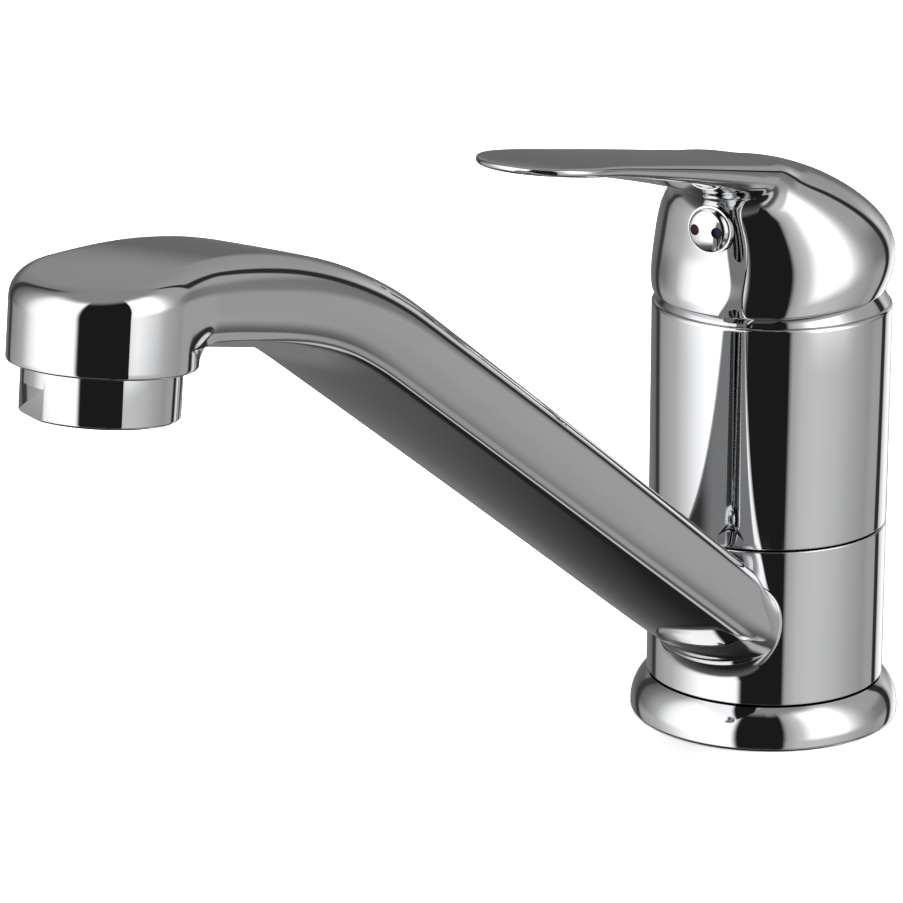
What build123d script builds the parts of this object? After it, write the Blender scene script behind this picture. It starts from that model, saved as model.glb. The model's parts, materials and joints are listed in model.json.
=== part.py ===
from build123d import *

import os
from math import asin, atan2, cos, degrees, hypot, radians, sin, sqrt, tan

os.makedirs("parts", exist_ok=True)

# Single-lever kitchen mixer with a low swivelling spout, in millimetres, +Z up.
# The origin is the centre of the base on the worktop. Spout and lever point along -Y.

# Column: flange, turning collar and upper body
body_diameter = 45.0
flange_diameter = 51.0
flange_height = 7.7
flange_foot = 1.2
collar_height = 30.2
cup_height = 42.4
seam_gap = 0.4
rim_round = 1.5
spigot_diameter = 31.0

# Fits
running_clearance = 0.08
fit_clearance = 0.1
seal_clearance = 0.05
thrust_clearance = 0.05

# Spout arm, head and waterway
spout_reach = 200.0
outlet_height = 109.0
outlet_tilt = 6.7
head_flare = 1.5
head_depth = 15.2
arm_width = 26.0
arm_root_width = 28.0
arm_root_top = 34.0
arm_root_bottom = 19.8
top_bend_radius = 118.0
under_bend_radius = 75.0
arm_edge_round = 6.0
arm_head_blend = 12.0
arm_under_drop = 1.6
head_heel = 4.0
waterway_diameter = 8.0

# Aerator
aerator_diameter = 24.4
aerator_drop = 7.5
aerator_thread_diameter = 21.8
aerator_thread_length = 6.0
aerator_bore = 18.6
aerator_lip = 1.2
aerator_flat_width = 22.6
aerator_flat_height = 5.0
aerator_flat_turn = 62.0
aerator_chamfer = 0.6
aerator_gasket_thickness = 1.6
outlet_chamber_diameter = 17.0
outlet_chamber_depth = 4.0
screen_thickness = 0.8
screen_pitch = 2.0
screen_opening = 1.4
insert_wall = 1.2
insert_port_diameter = 2.4
insert_port_circle = 10.0
insert_port_count = 8

# Swivel seat of the spout on the spigot
slide_ring_diameter = 38.0
slide_ring_thickness = 1.6
seal_section = 2.2
seal_groove_width = 3.0
upper_seal_below_collar_top = 5.5
lower_seal_above_collar_bottom = 8.0
water_groove_height = 10.0
water_groove_depth = 2.0
retainer_thickness = 1.2
retainer_diameter = 35.0
retainer_groove_depth = 1.2
retainer_gap_width = 6.0

# Base gasket
gasket_inner_diameter = 38.0
gasket_outer_diameter = 45.0
gasket_thickness = 2.2

# Supply inlets, outlet channel and fixing stud
inlet_spacing = 12.4
inlet_setback = 3.5
inlet_thread_diameter = 9.0
inlet_thread_depth = 14.0
channel_diameter = 6.5
outlet_setback = 7.0
stud_hole_diameter = 6.8
stud_hole_depth = 14.0
stud_setback = 8.0

# Cartridge
cartridge_diameter = 35.0
cartridge_seat = 46.0
base_thickness = 4.0
cartridge_shoulder = 22.5
neck_diameter = 28.0
neck_height = 9.0
housing_wall = 2.5
disc_thickness = 2.5
fixed_disc_diameter = 28.0
moving_disc_diameter = 22.0
mixing_recess_diameter = 13.0
mixing_recess_depth = 1.4
driver_thickness = 5.0
driver_rail_width = 2.0
driver_rail_height = 1.2
driver_rail_spacing = 15.0
carrier_diameter = 24.0
carrier_flange_diameter = 29.0
carrier_flange_thickness = 2.0
port_seal_width = 1.6
port_seal_thickness = 1.3
locating_peg_diameter = 4.0
locating_peg_length = 2.5
locating_peg_spacing = 26.0
disc_clearance = 0.3

# Lever spindle and its pivot
pivot_rise = 8.7
lift_range = 18.0
spindle_width = 7.0
spindle_length = 33.5
ball_drop = 2.165
spindle_ball_diameter = 4.6
spindle_stem_diameter = 3.6
spindle_slot_length = 13.0
spindle_hub_diameter = 9.0
pivot_pin_diameter = 3.0

# Nut and dome cap
nut_thread_diameter = 38.0
nut_height = 7.0
nut_slot_count = 6
nut_slot_width = 4.0
nut_slot_depth = 2.5
cap_base_diameter = 42.0
cap_wall = 1.6
cap_opening_diameter = 22.0
cap_skirt_length = 4.6
cap_skirt_wall = 2.8
cap_seal_section = 1.5

# Handle
dome_clearance = 0.35
skirt_front_gap = 2.1
skirt_rear_gap = 4.2
dome_inset = 0.2
lever_width = 24.0
lever_tip_reach = 90.0
lever_root_drop = 1.24
lever_tip_thickness = 1.7
lever_slope = 11.2
lever_mid_thickness = 4.2
lever_root_reach = 10.0
lever_root_thickness = 8.6
lever_edge_round = 0.7
screw_rise = 30.0
grub_screw_diameter = 5.0
grub_screw_length = 6.0
plug_diameter = 9.0
plug_depth = 4.0
plug_projection = 2.2
plug_rim_round = 0.9
hex_key_size = 2.5
dot_diameter = 2.0
dot_spacing = 4.6
dot_depth = 1.2
dot_recess = 0.3

STANDING = (Align.CENTER, Align.CENTER, Align.MIN)
HANGING = (Align.CENTER, Align.CENTER, Align.MAX)

# Levels and radii worked out from the sizes above
body_radius = body_diameter / 2
spigot_radius = spigot_diameter / 2
collar_bottom = flange_height + seam_gap
collar_top = collar_bottom + collar_height
cup_bottom = collar_top + seam_gap
cup_top = cup_bottom + cup_height
collar_bore_radius = spigot_radius + running_clearance
slide_ring_inner_radius = spigot_radius + fit_clearance
slide_ring_radius = slide_ring_diameter / 2
upper_seal_level = collar_top - upper_seal_below_collar_top
lower_seal_level = collar_bottom + lower_seal_above_collar_bottom
water_groove_level = (upper_seal_level + lower_seal_level) / 2
retainer_level = collar_bottom + seam_gap + retainer_thickness / 2
lower_ring_bottom = retainer_level + retainer_thickness / 2
shoulder_level = cartridge_seat + cartridge_shoulder
neck_top = shoulder_level + neck_height
nut_bore_radius = nut_thread_diameter / 2
nut_radius = nut_bore_radius - fit_clearance
cartridge_bore_radius = cartridge_diameter / 2 + fit_clearance
skirt_bottom = cup_top - cap_skirt_length
base_top = cartridge_seat + base_thickness
fixed_disc_top = base_top + disc_thickness
driver_bottom = fixed_disc_top + disc_thickness
driver_top = driver_bottom + driver_thickness
carrier_bottom = driver_top + disc_clearance
pivot_height = carrier_bottom + pivot_rise
screw_height = pivot_height + screw_rise
rest_lean = lift_range / 2
spindle_arm = (pivot_rise + ball_drop) / cos(radians(rest_lean))

head_diameter = arm_width + 2 * head_flare
head_radius = head_diameter / 2
outlet_plane = Plane(
    origin=(0, -spout_reach, outlet_height),
    x_dir=(1, 0, 0),
    z_dir=(0, sin(radians(outlet_tilt)), cos(radians(outlet_tilt))),
)
rim_plane = outlet_plane.offset(aerator_drop)
spindle_plane = Plane(
    origin=(0, 0, pivot_height),
    x_dir=(1, 0, 0),
    z_dir=(0, -sin(radians(rest_lean)), cos(radians(rest_lean))),
)


def tangent_slope(start, bend_centre, bend_radius):
    """Slope in degrees of the line from start that runs on into an arc over bend_centre."""
    along = bend_centre[0] - start[0]
    rise = bend_centre[1] - start[1]
    return degrees(atan2(rise, along) + asin(bend_radius / hypot(along, rise)))


def bend_start(bend_centre, bend_radius, slope):
    """Point where that line meets the arc."""
    return (
        bend_centre[0] - bend_radius * sin(radians(slope)),
        bend_centre[1] + bend_radius * cos(radians(slope)),
    )


def bend_middle(bend_centre, bend_radius, slope):
    """Point half way round the arc, between the line and the level run."""
    return bend_start(bend_centre, bend_radius, slope / 2)


def forward(point):
    """Turn (distance forward of the axis, height) into coordinates of the YZ plane."""
    return (-point[0], point[1])


# Base flange
with BuildPart() as base_flange:
    with BuildSketch(Plane.XZ):
        with BuildLine():
            Polyline(
                (body_radius, flange_height),
                (spigot_radius + fit_clearance, flange_height),
                (spigot_radius + fit_clearance, 0),
                (flange_diameter / 2, 0),
                (flange_diameter / 2, flange_foot),
            )
            TangentArc(
                (flange_diameter / 2, flange_foot),
                (body_radius, flange_height),
                tangent=(0, 1),
            )
        make_face()
    revolve(axis=Axis.Z)
    with BuildSketch(Plane.XY):
        Circle(gasket_outer_diameter / 2 + fit_clearance)
        Circle(gasket_inner_diameter / 2 - fit_clearance, mode=Mode.SUBTRACT)
    extrude(amount=gasket_thickness, mode=Mode.SUBTRACT)
base_flange.part.label = "base_flange"
export_step(base_flange.part, "parts/base_flange.step")

# Gasket in the flange's underside
with BuildPart() as base_gasket:
    with BuildSketch(Plane.XY):
        Circle(gasket_outer_diameter / 2)
        Circle(gasket_inner_diameter / 2, mode=Mode.SUBTRACT)
    extrude(amount=gasket_thickness)
base_gasket.part.label = "base_gasket"
export_step(base_gasket.part, "parts/base_gasket.step")

# Body casting: cup for the cartridge over a spigot that the spout turns on
with BuildPart() as body_casting:
    with Locations((0, 0, cup_bottom)):
        Cylinder(body_radius, cup_height, align=STANDING)
    Cylinder(spigot_radius, cup_bottom, align=STANDING)
    fillet(body_casting.faces().sort_by(Axis.Z)[-1].edges(), radius=rim_round)
    with Locations((0, 0, cup_top)):
        CounterBoreHole(
            radius=cartridge_bore_radius,
            counter_bore_radius=nut_bore_radius,
            counter_bore_depth=cup_top - shoulder_level,
            depth=cup_top - cartridge_seat,
        )
    with BuildSketch(Plane.XZ):
        for level in (upper_seal_level, lower_seal_level):
            with Locations((spigot_radius, level)):
                Rectangle(seal_section, seal_groove_width, align=(Align.MAX, Align.CENTER))
        with Locations((spigot_radius, water_groove_level)):
            Rectangle(water_groove_depth, water_groove_height, align=(Align.MAX, Align.CENTER))
        with Locations((spigot_radius, retainer_level)):
            Rectangle(retainer_groove_depth, retainer_thickness, align=(Align.MAX, Align.CENTER))
    revolve(axis=Axis.Z, mode=Mode.SUBTRACT)
    for side in (-1, 1):
        with Locations((side * inlet_spacing / 2, inlet_setback, 0)):
            Cylinder(
                inlet_thread_diameter / 2, inlet_thread_depth, align=STANDING, mode=Mode.SUBTRACT
            )
            Cylinder(channel_diameter / 2, cartridge_seat, align=STANDING, mode=Mode.SUBTRACT)
        with Locations((side * locating_peg_spacing / 2, 0, cartridge_seat)):
            Cylinder(
                locating_peg_diameter / 2 + fit_clearance,
                locating_peg_length + fit_clearance,
                align=HANGING,
                mode=Mode.SUBTRACT,
            )
    with Locations((0, -outlet_setback, cartridge_seat)):
        Cylinder(
            channel_diameter / 2,
            cartridge_seat - water_groove_level,
            align=HANGING,
            mode=Mode.SUBTRACT,
        )
    with BuildSketch(Plane.XZ):
        with Locations((0, water_groove_level)):
            Circle(channel_diameter / 2)
    extrude(amount=spigot_radius, mode=Mode.SUBTRACT)
    with Locations((0, -stud_setback, 0)):
        Cylinder(stud_hole_diameter / 2, stud_hole_depth, align=STANDING, mode=Mode.SUBTRACT)
body_casting.part.label = "body_casting"
export_step(body_casting.part, "parts/body_casting.step")

# Slide rings above and below the collar
with BuildPart() as upper_slide_ring:
    with BuildSketch(Plane.XY.offset(cup_bottom)):
        Circle(slide_ring_radius)
        Circle(slide_ring_inner_radius, mode=Mode.SUBTRACT)
    extrude(amount=-slide_ring_thickness)
upper_slide_ring.part.label = "upper_slide_ring"
export_step(upper_slide_ring.part, "parts/upper_slide_ring.step")

with BuildPart() as lower_slide_ring:
    with BuildSketch(Plane.XY.offset(lower_ring_bottom)):
        Circle(slide_ring_radius)
        Circle(slide_ring_inner_radius, mode=Mode.SUBTRACT)
    extrude(amount=slide_ring_thickness)
lower_slide_ring.part.label = "lower_slide_ring"
export_step(lower_slide_ring.part, "parts/lower_slide_ring.step")

# Open retaining ring in its groove, which carries the lower slide ring
with BuildPart() as spout_retaining_ring:
    with BuildSketch(Plane.XY.offset(retainer_level)):
        Circle(retainer_diameter / 2)
        Circle(spigot_radius - retainer_groove_depth + fit_clearance, mode=Mode.SUBTRACT)
        with Locations((0, retainer_diameter / 2)):
            Rectangle(retainer_gap_width, retainer_diameter / 2, mode=Mode.SUBTRACT)
    extrude(amount=retainer_thickness / 2, both=True)
spout_retaining_ring.part.label = "spout_retaining_ring"
export_step(spout_retaining_ring.part, "parts/spout_retaining_ring.step")

# Seals of the swivel, one above and one below the water groove
seal_ring_radius = spigot_radius - seal_section / 2
seal_minor_radius = seal_section / 2 - seal_clearance
with BuildPart() as upper_spout_seal:
    with Locations((0, 0, upper_seal_level)):
        Torus(seal_ring_radius, seal_minor_radius)
upper_spout_seal.part.label = "upper_spout_seal"
export_step(upper_spout_seal.part, "parts/upper_spout_seal.step")

with BuildPart() as lower_spout_seal:
    with Locations((0, 0, lower_seal_level)):
        Torus(seal_ring_radius, seal_minor_radius)
lower_spout_seal.part.label = "lower_spout_seal"
export_step(lower_spout_seal.part, "parts/lower_spout_seal.step")

# Spout: arm and head cut from one plan and one side view, then the turning collar
rim_centre = (
    spout_reach - aerator_drop * sin(radians(outlet_tilt)),
    outlet_height + aerator_drop * cos(radians(outlet_tilt)),
)
crown_level = rim_centre[1] + head_depth
top_root = (body_radius, arm_root_top)
top_bend_centre = (rim_centre[0], crown_level - top_bend_radius)
top_slope = tangent_slope(top_root, top_bend_centre, top_bend_radius)
top_bend_start = bend_start(top_bend_centre, top_bend_radius, top_slope)
under_level = rim_centre[1] + arm_under_drop
under_root = (body_radius, arm_root_bottom)
under_bend_centre = (rim_centre[0] - head_radius + head_heel, under_level - under_bend_radius)
under_slope = tangent_slope(under_root, under_bend_centre, under_bend_radius)
under_bend_start = bend_start(under_bend_centre, under_bend_radius, under_slope)
neck_setback = sqrt(head_radius**2 - (arm_width / 2) ** 2)
nose = spout_reach + head_diameter
hub_inset = slide_ring_radius
upward_share = 0.5
top_hub = (hub_inset, arm_root_top - (body_radius - hub_inset) * tan(radians(top_slope)))
under_hub = (hub_inset, arm_root_bottom - (body_radius - hub_inset) * tan(radians(under_slope)))
water_bend_radius = (top_bend_radius + under_bend_radius) / 2
water_level = (crown_level + under_level) / 2
water_bend_centre = (
    (top_bend_centre[0] + under_bend_centre[0]) / 2,
    water_level - water_bend_radius,
)
water_root = (body_radius, (arm_root_top + arm_root_bottom) / 2)
water_slope = tangent_slope(water_root, water_bend_centre, water_bend_radius)
water_bend_start = bend_start(water_bend_centre, water_bend_radius, water_slope)
port_end = (
    body_radius - (water_root[1] - water_groove_level) / tan(radians(water_slope)),
    water_groove_level,
)

with BuildPart() as spout:
    with BuildSketch(rim_plane) as arm_plan:
        Circle(head_radius)
        with BuildLine():
            Polyline(
                (-arm_width / 2, 0),
                (arm_width / 2, 0),
                (arm_root_width / 2, spout_reach),
                (-arm_root_width / 2, spout_reach),
                close=True,
            )
        make_face()
        inner_corners = arm_plan.vertices().filter_by_position(Axis.Y, neck_setback / 2, spout_reach / 2)
        fillet(inner_corners, radius=arm_head_blend)
    extrude(amount=spout_reach, both=True)
    with BuildSketch(Plane.YZ):
        with BuildLine():
            Line(forward((nose, under_level)), forward((under_bend_centre[0], under_level)))
            ThreePointArc(
                forward((under_bend_centre[0], under_level)),
                forward(bend_middle(under_bend_centre, under_bend_radius, under_slope)),
                forward(under_bend_start),
            )
            Line(forward(under_bend_start), forward(under_hub))
            Line(forward(under_hub), forward(top_hub))
            Line(forward(top_hub), forward(top_bend_start))
            ThreePointArc(
                forward(top_bend_start),
                forward(bend_middle(top_bend_centre, top_bend_radius, top_slope)),
                forward((top_bend_centre[0], crown_level)),
            )
            Line(forward((top_bend_centre[0], crown_level)), forward((nose, crown_level)))
            Line(forward((nose, crown_level)), forward((nose, under_level)))
        make_face()
    extrude(amount=arm_root_width, both=True, mode=Mode.INTERSECT)
    top_faces = spout.faces().filter_by(lambda face: face.normal_at().Z > upward_share)
    cross_edges = spout.edges().filter_by(GeomType.LINE).filter_by(Axis.X)
    fillet(top_faces.edges() - cross_edges, radius=arm_edge_round)
    with BuildSketch(rim_plane):
        Circle(head_radius)
    extrude(amount=head_depth / 2)
    with Locations((0, 0, collar_bottom)):
        Cylinder(body_radius, collar_height, align=STANDING)
    with Locations((0, 0, collar_bottom)):
        Cylinder(collar_bore_radius, collar_height, align=STANDING, mode=Mode.SUBTRACT)
        Cylinder(
            slide_ring_radius + fit_clearance,
            lower_ring_bottom + slide_ring_thickness + thrust_clearance - collar_bottom,
            align=STANDING,
            mode=Mode.SUBTRACT,
        )
    with Locations((0, 0, collar_top)):
        Cylinder(
            slide_ring_radius + fit_clearance,
            slide_ring_thickness + thrust_clearance - seam_gap,
            align=HANGING,
            mode=Mode.SUBTRACT,
        )
    with BuildSketch(Plane.XZ):
        with Locations((0, water_groove_level)):
            Circle(waterway_diameter / 2)
    extrude(amount=port_end[0], mode=Mode.SUBTRACT)
    with BuildLine(Plane.YZ) as waterway:
        Line(forward(port_end), forward(water_bend_start))
        ThreePointArc(
            forward(water_bend_start),
            forward(bend_middle(water_bend_centre, water_bend_radius, water_slope)),
            forward((water_bend_centre[0], water_level)),
        )
        Line(forward((water_bend_centre[0], water_level)), forward((rim_centre[0], water_level)))
    with BuildSketch(Plane(origin=waterway.line @ 0, z_dir=waterway.line % 0)):
        Circle(waterway_diameter / 2)
    sweep(path=waterway.line, mode=Mode.SUBTRACT)
    with BuildSketch(rim_plane):
        Circle(aerator_thread_diameter / 2 + fit_clearance)
    extrude(amount=aerator_thread_length + aerator_gasket_thickness, mode=Mode.SUBTRACT)
    with BuildSketch(rim_plane):
        Circle(outlet_chamber_diameter / 2)
    extrude(
        amount=aerator_thread_length + aerator_gasket_thickness + outlet_chamber_depth,
        mode=Mode.SUBTRACT,
    )
spout.part.label = "spout"
export_step(spout.part, "parts/spout.step")

# Aerator: housing with wrench flats, gasket, flow insert and outlet screen
aerator_radius = aerator_diameter / 2
aerator_height = aerator_drop + aerator_thread_length
with BuildPart() as aerator_housing:
    with BuildSketch(outlet_plane):
        Circle(aerator_radius)
    extrude(amount=aerator_drop)
    chamfer(aerator_housing.edges().sort_by(Axis.Z)[0], length=aerator_chamfer)
    with BuildSketch(outlet_plane):
        Circle(aerator_thread_diameter / 2)
    extrude(amount=aerator_height)
    with BuildSketch(outlet_plane):
        with PolarLocations(aerator_flat_width / 2, 2, start_angle=aerator_flat_turn):
            Rectangle(aerator_diameter, aerator_diameter, align=(Align.MIN, Align.CENTER))
    extrude(amount=aerator_flat_height, mode=Mode.SUBTRACT)
    with BuildSketch(outlet_plane.offset(aerator_lip)):
        Circle(aerator_bore / 2)
    extrude(amount=aerator_height, mode=Mode.SUBTRACT)
    with BuildSketch(outlet_plane):
        Circle(aerator_bore / 2 - aerator_lip)
    extrude(amount=aerator_lip, mode=Mode.SUBTRACT)
aerator_housing.part.label = "aerator_housing"
export_step(aerator_housing.part, "parts/aerator_housing.step")

with BuildPart() as aerator_gasket:
    with BuildSketch(outlet_plane.offset(aerator_height)):
        Circle(aerator_thread_diameter / 2)
        Circle(outlet_chamber_diameter / 2, mode=Mode.SUBTRACT)
    extrude(amount=aerator_gasket_thickness)
aerator_gasket.part.label = "aerator_gasket"
export_step(aerator_gasket.part, "parts/aerator_gasket.step")

insert_radius = aerator_bore / 2 - fit_clearance
insert_bottom = aerator_lip + screen_thickness
with BuildPart() as aerator_insert:
    with BuildSketch(outlet_plane.offset(insert_bottom)):
        Circle(insert_radius)
    extrude(amount=aerator_height - insert_bottom)
    with BuildSketch(outlet_plane.offset(insert_bottom)):
        Circle(insert_radius - insert_wall)
    extrude(amount=aerator_height - insert_bottom - insert_wall, mode=Mode.SUBTRACT)
    with BuildSketch(outlet_plane.offset(insert_bottom)):
        with PolarLocations(insert_port_circle / 2, insert_port_count):
            Circle(insert_port_diameter / 2)
    extrude(amount=aerator_height, mode=Mode.SUBTRACT)
aerator_insert.part.label = "aerator_insert"
export_step(aerator_insert.part, "parts/aerator_insert.step")

screen_rows = int(2 * insert_radius / screen_pitch)
screen_reach = insert_radius - screen_opening
with BuildPart() as aerator_screen:
    with BuildSketch(outlet_plane.offset(aerator_lip)):
        Circle(insert_radius)
        cells = GridLocations(screen_pitch, screen_pitch, screen_rows, screen_rows).locations
        open_cells = [cell for cell in cells if cell.position.length < screen_reach]
        with Locations(*open_cells):
            Rectangle(screen_opening, screen_opening, mode=Mode.SUBTRACT)
    extrude(amount=screen_thickness)
aerator_screen.part.label = "aerator_screen"
export_step(aerator_screen.part, "parts/aerator_screen.step")

# Cartridge base with its three ports, their seals and the locating pegs
port_places = [
    (-inlet_spacing / 2, inlet_setback),
    (inlet_spacing / 2, inlet_setback),
    (0, -outlet_setback),
]
port_radius = channel_diameter / 2
with BuildPart() as cartridge_base:
    with BuildSketch(Plane.XY.offset(cartridge_seat)):
        Circle(cartridge_diameter / 2)
        with Locations(*port_places):
            Circle(port_radius, mode=Mode.SUBTRACT)
    extrude(amount=base_thickness)
    with BuildSketch(Plane.XY.offset(cartridge_seat)):
        with Locations(*port_places):
            Circle(port_radius + port_seal_width + fit_clearance)
    extrude(amount=port_seal_thickness, mode=Mode.SUBTRACT)
    with Locations(*[(side * locating_peg_spacing / 2, 0, cartridge_seat) for side in (-1, 1)]):
        Cylinder(locating_peg_diameter / 2, locating_peg_length, align=HANGING)
cartridge_base.part.label = "cartridge_base"
export_step(cartridge_base.part, "parts/cartridge_base.step")

with BuildPart() as cartridge_port_seals:
    with BuildSketch(Plane.XY.offset(cartridge_seat)):
        with Locations(*port_places):
            Circle(port_radius + port_seal_width)
        with Locations(*port_places):
            Circle(port_radius, mode=Mode.SUBTRACT)
    extrude(amount=port_seal_thickness)
cartridge_port_seals.part.label = "cartridge_port_seals"
export_step(cartridge_port_seals.part, "parts/cartridge_port_seals.step")

# Ceramic discs and the driver that slides the upper one
disc_offset = spindle_arm * sin(radians(rest_lean))
with BuildPart() as fixed_ceramic_disc:
    with BuildSketch(Plane.XY.offset(base_top)):
        Circle(fixed_disc_diameter / 2)
        with Locations(*port_places):
            Circle(port_radius, mode=Mode.SUBTRACT)
    extrude(amount=disc_thickness)
fixed_ceramic_disc.part.label = "fixed_ceramic_disc"
export_step(fixed_ceramic_disc.part, "parts/fixed_ceramic_disc.step")

with BuildPart() as moving_ceramic_disc:
    with BuildSketch(Plane.XY.offset(fixed_disc_top)):
        with Locations((0, disc_offset)):
            Circle(moving_disc_diameter / 2)
    extrude(amount=disc_thickness)
    with BuildSketch(Plane.XY.offset(fixed_disc_top)):
        with Locations((0, disc_offset)):
            Circle(mixing_recess_diameter / 2)
    extrude(amount=mixing_recess_depth, mode=Mode.SUBTRACT)
moving_ceramic_disc.part.label = "moving_ceramic_disc"
export_step(moving_ceramic_disc.part, "parts/moving_ceramic_disc.step")

ball_pocket_radius = spindle_ball_diameter / 2 + disc_clearance / 2
ball_centre = spindle_plane.from_local_coords((0, 0, -spindle_arm))
pocket_floor = ball_centre.Z - ball_pocket_radius
with BuildPart() as disc_driver:
    with BuildSketch(Plane.XY.offset(driver_bottom)):
        with Locations((0, disc_offset)):
            Circle(moving_disc_diameter / 2)
    extrude(amount=driver_thickness)
    with BuildSketch(Plane.XY.offset(driver_top)):
        with Locations((0, disc_offset)):
            with GridLocations(driver_rail_spacing, 0, 2, 1):
                Rectangle(driver_rail_width, moving_disc_diameter / 2)
    extrude(amount=driver_rail_height)
    with BuildSketch(Plane.XY.offset(pocket_floor)):
        with Locations((0, disc_offset)):
            Circle(ball_pocket_radius)
    extrude(amount=driver_top - pocket_floor, mode=Mode.SUBTRACT)
disc_driver.part.label = "disc_driver"
export_step(disc_driver.part, "parts/disc_driver.step")

# Carrier that turns in the cartridge neck and holds the spindle's pivot pin
flange_top = carrier_bottom + carrier_flange_thickness
slot_width = spindle_width + 2 * disc_clearance
rail_groove_length = moving_disc_diameter + 4 * disc_offset
with BuildPart() as cartridge_carrier:
    with Locations((0, 0, carrier_bottom)):
        Cylinder(carrier_flange_diameter / 2, carrier_flange_thickness, align=STANDING)
        Cylinder(carrier_diameter / 2, neck_top - carrier_bottom, align=STANDING)
    with BuildSketch(Plane.XY.offset(carrier_bottom)):
        Rectangle(slot_width, spindle_slot_length)
    extrude(amount=neck_top - carrier_bottom, mode=Mode.SUBTRACT)
    with BuildSketch(Plane.XY.offset(carrier_bottom)):
        with GridLocations(driver_rail_spacing, 0, 2, 1):
            Rectangle(driver_rail_width + 2 * disc_clearance, rail_groove_length)
    extrude(amount=driver_rail_height, mode=Mode.SUBTRACT)
    with BuildSketch(Plane.YZ):
        with Locations((0, pivot_height)):
            Circle(pivot_pin_diameter / 2 + seal_clearance)
    extrude(amount=carrier_diameter, both=True, mode=Mode.SUBTRACT)
cartridge_carrier.part.label = "cartridge_carrier"
export_step(cartridge_carrier.part, "parts/cartridge_carrier.step")

pin_half_length = carrier_diameter / 2 - disc_clearance
with BuildPart() as pivot_pin:
    with BuildSketch(Plane.YZ):
        with Locations((0, pivot_height)):
            Circle(pivot_pin_diameter / 2)
    extrude(amount=pin_half_length, both=True)
pivot_pin.part.label = "pivot_pin"
export_step(pivot_pin.part, "parts/pivot_pin.step")

# Cartridge housing
with BuildPart() as cartridge_housing:
    with Locations((0, 0, base_top)):
        Cylinder(cartridge_diameter / 2, shoulder_level - base_top, align=STANDING)
        Cylinder(neck_diameter / 2, neck_top - base_top, align=STANDING)
        Cylinder(
            cartridge_diameter / 2 - housing_wall,
            flange_top + fit_clearance - base_top,
            align=STANDING,
            mode=Mode.SUBTRACT,
        )
        Cylinder(
            carrier_diameter / 2 + running_clearance,
            neck_top - base_top,
            align=STANDING,
            mode=Mode.SUBTRACT,
        )
cartridge_housing.part.label = "cartridge_housing"
export_step(cartridge_housing.part, "parts/cartridge_housing.step")

# Slotted nut that clamps the cartridge
with BuildPart() as cartridge_nut:
    with BuildSketch(Plane.XY.offset(shoulder_level)):
        Circle(nut_radius)
        Circle(neck_diameter / 2 + disc_clearance, mode=Mode.SUBTRACT)
    extrude(amount=nut_height)
    with BuildSketch(Plane.XY.offset(shoulder_level + nut_height)):
        with PolarLocations(nut_radius, nut_slot_count):
            Rectangle(nut_radius, nut_slot_width)
    extrude(amount=-nut_slot_depth, mode=Mode.SUBTRACT)
cartridge_nut.part.label = "cartridge_nut"
export_step(cartridge_nut.part, "parts/cartridge_nut.step")

# Dome cap, a zone of a sphere about the lever's pivot, with a skirt inside the cup
cap_base_radius = cap_base_diameter / 2
cap_radius = hypot(cap_base_radius, cup_top - pivot_height)
cap_skirt_radius = nut_bore_radius - fit_clearance
cap_skirt_inner = cap_skirt_radius - cap_skirt_wall
cap_opening_radius = cap_opening_diameter / 2


def on_sphere(sphere_radius, distance):
    """Point of a half section of a sphere about the pivot, at this distance from the axis."""
    return (distance, pivot_height + sqrt(sphere_radius**2 - distance**2))


with BuildPart() as dome_cap:
    with BuildSketch(Plane.XZ):
        with BuildLine():
            ThreePointArc(
                (cap_base_radius, cup_top),
                on_sphere(cap_radius, (cap_base_radius + cap_opening_radius) / 2),
                on_sphere(cap_radius, cap_opening_radius),
            )
            Line(
                on_sphere(cap_radius, cap_opening_radius),
                on_sphere(cap_radius - cap_wall, cap_opening_radius),
            )
            ThreePointArc(
                on_sphere(cap_radius - cap_wall, cap_opening_radius),
                on_sphere(cap_radius - cap_wall, (cap_skirt_inner + cap_opening_radius) / 2),
                on_sphere(cap_radius - cap_wall, cap_skirt_inner),
            )
            Polyline(
                on_sphere(cap_radius - cap_wall, cap_skirt_inner),
                (cap_skirt_inner, skirt_bottom),
                (cap_skirt_radius, skirt_bottom),
                (cap_skirt_radius, cup_top),
                (cap_base_radius, cup_top),
            )
        make_face()
    revolve(axis=Axis.Z)
    with BuildSketch(Plane.XZ):
        with Locations((cap_skirt_radius, (skirt_bottom + cup_top) / 2)):
            Rectangle(
                cap_seal_section,
                cap_seal_section + 2 * fit_clearance,
                align=(Align.MAX, Align.CENTER),
            )
    revolve(axis=Axis.Z, mode=Mode.SUBTRACT)
dome_cap.part.label = "dome_cap"
export_step(dome_cap.part, "parts/dome_cap.step")

with BuildPart() as cap_o_ring:
    with Locations((0, 0, (skirt_bottom + cup_top) / 2)):
        Torus(cap_skirt_radius - cap_seal_section / 2, cap_seal_section / 2 - seal_clearance)
cap_o_ring.part.label = "cap_o_ring"
export_step(cap_o_ring.part, "parts/cap_o_ring.step")

# Spindle: ball below the pivot, square shank above it
with BuildPart() as spindle:
    with BuildSketch(spindle_plane):
        Rectangle(spindle_width, spindle_width)
    extrude(amount=spindle_length)
    with BuildSketch(Plane.YZ):
        with Locations((0, pivot_height)):
            Circle(spindle_hub_diameter / 2)
    extrude(amount=spindle_width / 2, both=True)
    with BuildSketch(spindle_plane):
        Circle(spindle_stem_diameter / 2)
    extrude(amount=-spindle_arm)
    with Locations(ball_centre):
        Sphere(spindle_ball_diameter / 2)
    with BuildSketch(Plane.YZ):
        with Locations((0, pivot_height)):
            Circle(pivot_pin_diameter / 2 + running_clearance)
    extrude(amount=spindle_width, both=True, mode=Mode.SUBTRACT)
spindle.part.label = "spindle"
export_step(spindle.part, "parts/spindle.step")

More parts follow.
